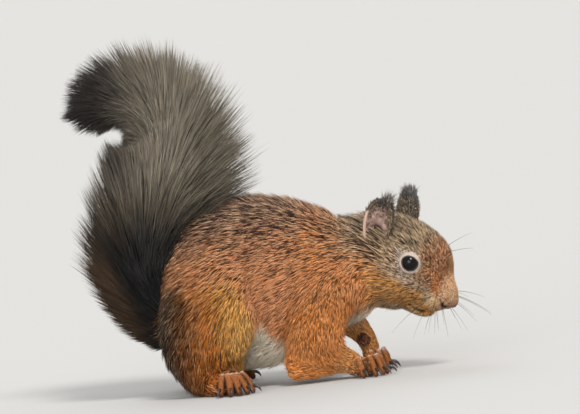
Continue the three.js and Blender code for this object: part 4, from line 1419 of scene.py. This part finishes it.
# Families of the coat: their regions, record slot, number of tufts, length and half width of a tuft in mm,
# and points along it. Neighbouring hairs clump into locks of one colour: `lock` is their width in mm, and
# `stretch` how far each axis is shortened before the noise is read, which draws the locks out along the coat.
FAMILIES = {
    "trunk": {"regions": ("trunk",), "slot": "back_coat", "tufts": 40000, "length": 8.2, "half_width": 0.21,
              "joints": 3, "lock": 0.5, "stretch": (0.4, 1, 0.9)},
    "thigh": {"regions": ("thigh",), "slot": "thigh_coat", "tufts": 19000, "length": 8.6, "half_width": 0.22,
              "joints": 3, "lock": 0.6, "stretch": (0.7, 1, 0.4)},
    "arms": {"regions": ("upper_arm", "forearm"), "slot": "foreleg_coat", "tufts": 17000, "length": 5.8,
             "half_width": 0.2, "joints": 3, "lock": 0.6, "stretch": (0.8, 1, 0.5)},
    "feet": {"regions": ("hind_foot", "fore_foot"), "slot": "foot_coat", "tufts": 12000, "length": 2.0,
             "half_width": 0.11, "joints": 2, "lock": 0.5, "stretch": (1, 1, 1)},
    "head": {"regions": ("head",), "slot": "head_coat", "tufts": 47000, "length": 3.2, "half_width": 0.26,
             "joints": 2, "lock": 0.5, "stretch": (0.8, 0.9, 1)},
}
BARE_RING = 0.35              # hairless ring of skin at the edge of an eyeball
LIE_SPREAD = 0.13             # how far single hairs stray from the lie of the coat
LOCK_JITTER = 0.9             # how far single hairs stray from the colour of their lock
TONE_SPREAD = 0.22
LUMINANCE = [0.2126, 0.7152, 0.0722]
EAR_BASE = (-8.6, 15.4, 1.5)
PIECE_TRIANGLES = 190000      # most that one piece of the coat may have


def coat_density(name, regions):
    """How thickly a family's tufts stand on the skin: none on soles, lips, nostrils and eyes."""
    density = sum(SKIN_SHARE[region] for region in regions) * (SKIN_POINTS[:, 2] > 0.3)
    if name == "head":
        a, b, c = to_head(SKIN_POINTS).T
        for line in FACE_LINES.values():
            clear = lines_reach(np.stack([a, np.abs(b), c], 1), spans(line["path"]))
            density = density * (clear > line["bare"])
        density = density * (1 + 0.8 * ramp(a, 4, 20)) * (a < 34)
    for _, side in SIDES:
        centre = eye_frame(side)[0]
        density = density * (np.linalg.norm(SKIN_POINTS - centre, axis=1) > EYE_RADIUS + BARE_RING)
    return density + 1e-9


def fitted_head(roots, long, high):
    """Length and height of the head's hairs: short on the muzzle, and clear of lips, eyes and ears."""
    a, b, c = to_head(roots).T
    long = long * (1.2 - 0.8 * ramp(a, 2, 28))
    lips = lines_reach(np.stack([a, np.abs(b), c], 1), spans(FACE_LINES["mouth"]["path"]))
    long = np.where(c > -16, np.minimum(long, np.maximum(1.1 * (lips - 0.5), 0.35)), long)
    for _, side in SIDES:
        centre, along, rise, look = eye_frame(side)
        offset = roots - centre
        aside = np.hypot(offset @ along, offset @ rise)
        near = offset @ look > -9
        room = np.maximum(aside - EYE_OPENING[0] - 0.9, 0.25)
        short = np.minimum(long * (0.4 + 0.6 * ramp(aside, 5, 10)), room)
        long = np.where(near & (aside < 12), short, long)
        high = np.where(near & (aside < 8), np.minimum(high, 0.35 * long + 0.15), high)
    for _, side in SIDES:
        ahead, out, up = EAR_BASE
        ear = np.linalg.norm(roots - in_head(ahead, side * out, up), axis=1)
        long = np.minimum(long, np.maximum(ear - 2.6, 0.4))
        high = np.minimum(high, np.maximum(0.5 * (ear - 2.2), 0.3))
    return long, high


def fitted(name, roots, normals, depth, long, high):
    """Length and height of a family's hairs, fitted to where they grow."""
    if name == "head":
        return fitted_head(roots, long, high)
    if name == "trunk":       # longer and looser at the nape
        nape = ramp(roots[:, 0], 36, 46) * ramp(normals[:, 2], 0.2, 0.7)
        return long * (1 + 0.25 * nape), high * (1 + 0.6 * nape)
    if name == "thigh":       # longer low down, over the foot
        return long * (1 + 0.5 * ramp(-roots[:, 2], -22, -8)), high
    if name == "feet":        # longer away from the digits
        clear = ramp(lines_reach(roots, KNUCKLES[1]), 3.5, 8)
        return long * (1 + 1.6 * clear), high * (1 + 1.2 * clear)
    thick = ramp(depth, 0.8, 3.2)                 # fore limbs: shorter where the coat is thin
    return long * (0.45 + 0.55 * thick), high * (0.6 + 0.4 * thick)


def coat_colours(rng, roots, share, base, family, seed):
    """
    Linear RGB at each point of each tuft, from a dark root to a clear tip; the root's darkness is partly the
    hair's own dark base and partly painted shade deep in the coat. Noise for locks, with a draw for each
    hair, sorts the tufts into dark ones, gold-tipped ones and plain ones.
    """
    place = roots * family["stretch"]
    lock = noise(place, family["lock"], 51 + seed) + LOCK_JITTER * rng.uniform(-1, 1, len(roots))
    rank = np.argsort(np.argsort(lock)) / len(roots)
    tone = np.exp(rng.normal(0, TONE_SPREAD, len(roots)) + 0.3 * noise(place, family["lock"], 91 + seed))
    bright = base @ LUMINANCE
    head_back = share["head"] * (1 - ramp(to_head(roots)[:, 0], 20, 29))
    grizzle = np.clip(head_back + ramp(roots[:, 2], 40, 84), 0, 1)
    dark = rank < (0.2 + 0.2 * grizzle) * (1 - 0.9 * ramp(bright, 0.5, 0.8))
    kind = [dark[:, None], (rank > 0.72)[:, None]]
    gold = mix(shade(base, 2.2 * tone), linear("#f0cfa2"), 0.25 + 0.2 * grizzle)
    dusk = mix(base * 0.42, linear("#2a1e18") * tone[:, None], 0.1 + 0.6 * grizzle)
    # darker root: partly the hair's own dark base, partly painted shade deep in the coat
    root = shade(base, 0.5 * tone)
    body = np.select(kind, [dusk, gold * 0.8], shade(base, 1.3 * tone))
    tip = np.select(kind, [dusk * 0.8, gold], shade(base, 1.8 * tone))
    return np.stack([root, body, tip][3 - family["joints"]:], axis=1)


def make_coat(name, family, seed):
    """Scatters tufts over a family of regions, lays them along the coat and joins them into pieces."""
    rng = np.random.default_rng(seed)
    joints = family["joints"]
    density = coat_density(name, family["regions"])
    roots = scatter(SKIN_POINTS, SKIN_FACES, density, family["tufts"] * COAT_STEP, seed)
    count = len(roots)
    normals = unit(FIELD.slope(roots))
    share, lie, depth, unwrap = survey(roots)
    lie = coat_lie(roots, normals, share, lie)
    lie = flattened(lie + LIE_SPREAD * rng.standard_normal(lie.shape), normals)
    long = family["length"] * rng.uniform(0.75, 1.2, count)
    high = depth * rng.uniform(0.6, 1.3, count)
    long, high = fitted(name, roots, normals, depth, long, high)
    spine, normal = laid_spines(FIELD, roots, lie, long, high, joints)
    spine[:, :, 2] = np.maximum(spine[:, :, 2], 0.15)
    colours = coat_colours(rng, roots, share, markings(roots, normals, share), family, seed)
    width = family["half_width"] * rng.uniform(0.7, 1.25, count)[:, None]
    width = width * np.linspace(0.8, 1.0, joints - 1)[None]
    if name == "head":
        width = width * (1.1 - 0.35 * ramp(to_head(roots)[:, 0], 2, 26))[:, None]
    side = np.cross(normal, lie)
    limit = PIECE_TRIANGLES // (6 * joints - 8)      # a tuft of n points has 6 n - 8 triangles
    for number, start in enumerate(range(0, count, limit)):
        part = slice(start, start + limit)
        piece = tuft_piece(f"coat_{name}_{number + 1}", spine[part], width[part], side[part], colours[part],
                           unwrap[part])
        finish_piece(piece, HAIR, family["slot"])


for number, (name, family) in enumerate(FAMILIES.items()):
    make_coat(name, family, seed=100 + number)


# ------------------------------------------------------------------ coat of the tail
TAIL_TUFTS = 50000
TAIL_PIECES = 3
TAIL_HALF_WIDTH = 0.19
# Where the plume swells or draws in, on its rear side, which the curl closes on, and on its front: share of
# the way up it, reach of the change and its size, as shares.
PLUME_REAR = [(0.88, 0.08, 0.3), (0.52, 0.06, -0.1)]
PLUME_FRONT = [(0.47, 0.07, 0.14)]


def bells(s, changes):
    """Sum of bell curves size * exp(-((s - middle) / reach) ** 2)."""
    return sum(size * np.exp(-(((s - middle) / reach) ** 2)) for middle, reach, size in changes)


def tail_spines(rng, count):
    """
    Tail hair fans out from the core to a plume: a tip lies on the plume's outer form at share s and angle f,
    drawn in by a random factor, and its root on the core a little nearer the rump. The spine is a quadratic
    curve that leaves the core steeply and bends towards the tail's tip.
    """
    plume = smooth_rows(side_rows(PLUME_ROWS, 1), 8)
    core = smooth_rows(side_rows(TAIL_CORE_ROWS, 1), 8)
    s = rng.random(count) ** 0.92
    angle = rng.uniform(0, 2 * np.pi, count)
    inward = np.where(rng.random(count) < 0.7, rng.uniform(0.88, 1.1, count), rng.uniform(0.3, 0.88, count))
    at = along_rows(plume, s)
    facing, aside = np.cos(angle), np.sin(angle)
    rear, front = bells(s, PLUME_REAR), bells(s, PLUME_FRONT)
    at[:, 3] *= 1 + rear * np.maximum(facing, 0) + front * np.maximum(-facing, 0)
    ahead = unit(along_rows(plume, s + 0.01)[:, :3] - along_rows(plume, s - 0.01)[:, :3])
    inner = np.cross(ahead, ACROSS_AXIS)
    envelope = at[:, :3] + facing[:, None] * at[:, 3:4] * inner + aside[:, None] * at[:, 4:5] * ACROSS_AXIS
    past = ramp(s, 0.9, 1.0)[:, None] * at[:, 3:4] * 0.7
    envelope = envelope + ahead * past * (1 - 0.5 * np.abs(facing)[:, None])
    middle = along_rows(core, s)[:, :3]
    tip = middle + inward[:, None] * (envelope - middle)
    lag = rng.uniform(0.07, 0.14, count) * (0.5 + 0.5 * inward)
    heart = along_rows(core, np.clip(s * 0.98 - lag, 0.03, 0.97))
    away = unit(tip - heart[:, :3])
    root = heart[:, :3] + away * heart[:, 3:4] * 0.6
    span = np.linalg.norm(tip - root, axis=1, keepdims=True)
    radial = unit(tip - middle)
    control = root + 0.5 * (tip - root) + 0.10 * span * radial + 0.05 * span * noise_vector(tip, 9.0, 61)
    tip = tip + 0.07 * span * noise_vector(tip, 6.0, 71)
    t = np.array([0, 0.5, 1.0])[None, :, None]
    spine = (1 - t) ** 2 * root[:, None] + 2 * t * (1 - t) * control[:, None] + t**2 * tip[:, None]
    spine[:, :, 2] = np.maximum(spine[:, :, 2], 1.0)
    return spine, tip, radial, s, heart[:, :3] + away * heart[:, 3:4]


def tail_colours(rng, tip):
    """
    Linear RGB at root, middle and tip of each hair, by where its tip stands: grey-brown above and darker
    below, the darkness low down being painted shade, brown at the back of the root, painted black shade
    beside the rump and dark at the tail's tip.
    """
    x, z = tip[:, 0], tip[:, 2]
    wander = 6 * noise(tip, 14.0, 81)
    loose = wander + rng.normal(0, 4, len(tip))
    # painted shade: the tail's hair darker low down and lighter high up
    upper = ramp(z + wander + 0.25 * x, 64, 112)
    brown = ramp(-x + wander, 56, 74) * (1 - ramp(z, 70, 92))
    # painted shade: near black beside the rump
    rump_shade = ramp(x + 0.35 * (z - 40) + wander * 0.3, -74, -60) * (1 - ramp(z + wander, 76, 98))
    tip_dark = ramp(-x + loose, 50, 76) * ramp(z + loose, 104, 126)
    middle = mix(linear("#251d14"), linear("#524b3f"), upper)
    end = mix(linear("#31271a"), linear("#797163"), upper)
    layers = [
        ("#4a3524", brown * 0.5, "#5f4530", brown * 0.4),
        ("#030202", rump_shade, "#060403", rump_shade),
        ("#262220", tip_dark, "#37312e", tip_dark),
    ]
    for middle_colour, middle_share, end_colour, end_share in layers:
        middle = mix(middle, linear(middle_colour), middle_share)
        end = mix(end, linear(end_colour), end_share)
    tone = np.exp(rng.normal(0, 0.36, len(tip)))
    root = linear("#231e19") * np.ones_like(tip)
    return np.stack([shade(colour, tone) for colour in (root, middle, end)], 1)


def make_tail():
    """Places and colours the tail's hair and joins it into pieces, from the root of the tail to its tip."""
    rng = np.random.default_rng(77)
    count = int(TAIL_TUFTS * COAT_STEP)
    spine, tip, radial, s, base = tail_spines(rng, count)
    colours = tail_colours(rng, tip)
    width = TAIL_HALF_WIDTH * rng.uniform(0.7, 1.3, count)[:, None] * np.array([[0.6, 1.25]])
    side = unit(np.cross(spine[:, 2] - spine[:, 0], radial + 0.3 * rng.standard_normal(radial.shape)))
    unwrap = survey(base)[3]
    for number, part in enumerate(np.array_split(np.argsort(s), TAIL_PIECES)):
        piece = tuft_piece(f"coat_tail_{number + 1}", spine[part], width[part], side[part], colours[part],
                           unwrap[part])
        finish_piece(piece, HAIR, "tail_hair")


make_tail()


# ------------------------------------------------------------------ camera, floor and light
FRAME_WIDTH_PX = 580
MM_PER_PX = 0.48
CAMERA_DISTANCE = 2.6
CAMERA_ELEVATION = math.radians(3.0)
CAMERA_ROLL = math.radians(6.72)
FRAME_MIDDLE = Vector((0.0138, 0.0, 0.0837))
FLOOR_SIDES = 96
FLOOR_RADIUS = 40000          # mm, past which the floor fades into the world
FLOOR_TONE = (0.52, 0.516, 0.508)       # linear RGB of matt pale paint
WORLD_TONE = (0.75, 0.75, 0.742)        # linear RGB of the studio's even light


def make_camera():
    """Long lens along +Y from just above the floor, rolled so that the floor rises to the right."""
    data = bpy.data.cameras.new("camera")
    data.sensor_width = 36
    data.lens = data.sensor_width * CAMERA_DISTANCE / (FRAME_WIDTH_PX * MM_PER_PX * MM)
    data.clip_start = 0.05
    data.clip_end = 50
    back = Vector((0, -math.cos(CAMERA_ELEVATION), math.sin(CAMERA_ELEVATION)))
    level = Vector((1, 0, 0))
    upright = back.cross(level)
    right = level * math.cos(CAMERA_ROLL) - upright * math.sin(CAMERA_ROLL)
    up = level * math.sin(CAMERA_ROLL) + upright * math.cos(CAMERA_ROLL)
    camera = bpy.data.objects.new("camera", data)
    camera.matrix_world = Matrix.Translation(FRAME_MIDDLE + back * CAMERA_DISTANCE) @ Matrix(
        (right, up, back)).transposed().to_4x4()
    bpy.context.scene.collection.objects.link(camera)
    bpy.context.scene.camera = camera


def make_light(name, way, strength, softness, colour):
    """Soft lamp of even strength that shines from the direction `way` towards the animal."""
    data = bpy.data.lights.new(name, "SUN")
    data.energy = strength
    data.angle = math.radians(softness)
    data.color = colour
    lamp = bpy.data.objects.new(name, data)
    lamp.rotation_euler = Vector(way).to_track_quat("Z", "Y").to_euler()
    bpy.context.scene.collection.objects.link(lamp)


def make_stage():
    """A pale round floor that fades into a world of the same tone."""
    angle = 2 * np.pi * np.arange(FLOOR_SIDES) / FLOOR_SIDES
    rim = np.stack([np.cos(angle), np.sin(angle), np.zeros(FLOOR_SIDES)], axis=1) * FLOOR_RADIUS
    points = np.concatenate([[[0, 0, 0]], rim])
    turn = np.arange(FLOOR_SIDES)
    faces = np.stack([np.zeros(FLOOR_SIDES, int), 1 + turn, 1 + (turn + 1) % FLOOR_SIDES], axis=1)
    floor = new_object("floor", points, faces, smooth=False)
    material, _, _ = new_material("floor_paint", Base_Color=(*FLOOR_TONE, 1), Roughness=0.95,
                                  Specular_IOR_Level=0.1)
    floor.data.materials.append(material)
    world = bpy.data.worlds.new("studio")
    world.use_nodes = True
    world.node_tree.nodes["Background"].inputs["Color"].default_value = (*WORLD_TONE, 1)
    world.node_tree.nodes["Background"].inputs["Strength"].default_value = 1.0
    bpy.context.scene.world = world


make_camera()
make_stage()
make_light("key", (0.3, -0.75, 1.0), 2.0, 16, (1.0, 0.97, 0.93))
make_light("fill", (-0.25, -1.0, 0.3), 1.4, 40, (0.97, 0.98, 1.0))
make_light("rim", (-0.3, 0.9, 0.9), 0.6, 30, (1.0, 0.98, 0.95))
bpy.context.scene.view_settings.view_transform = "Standard"
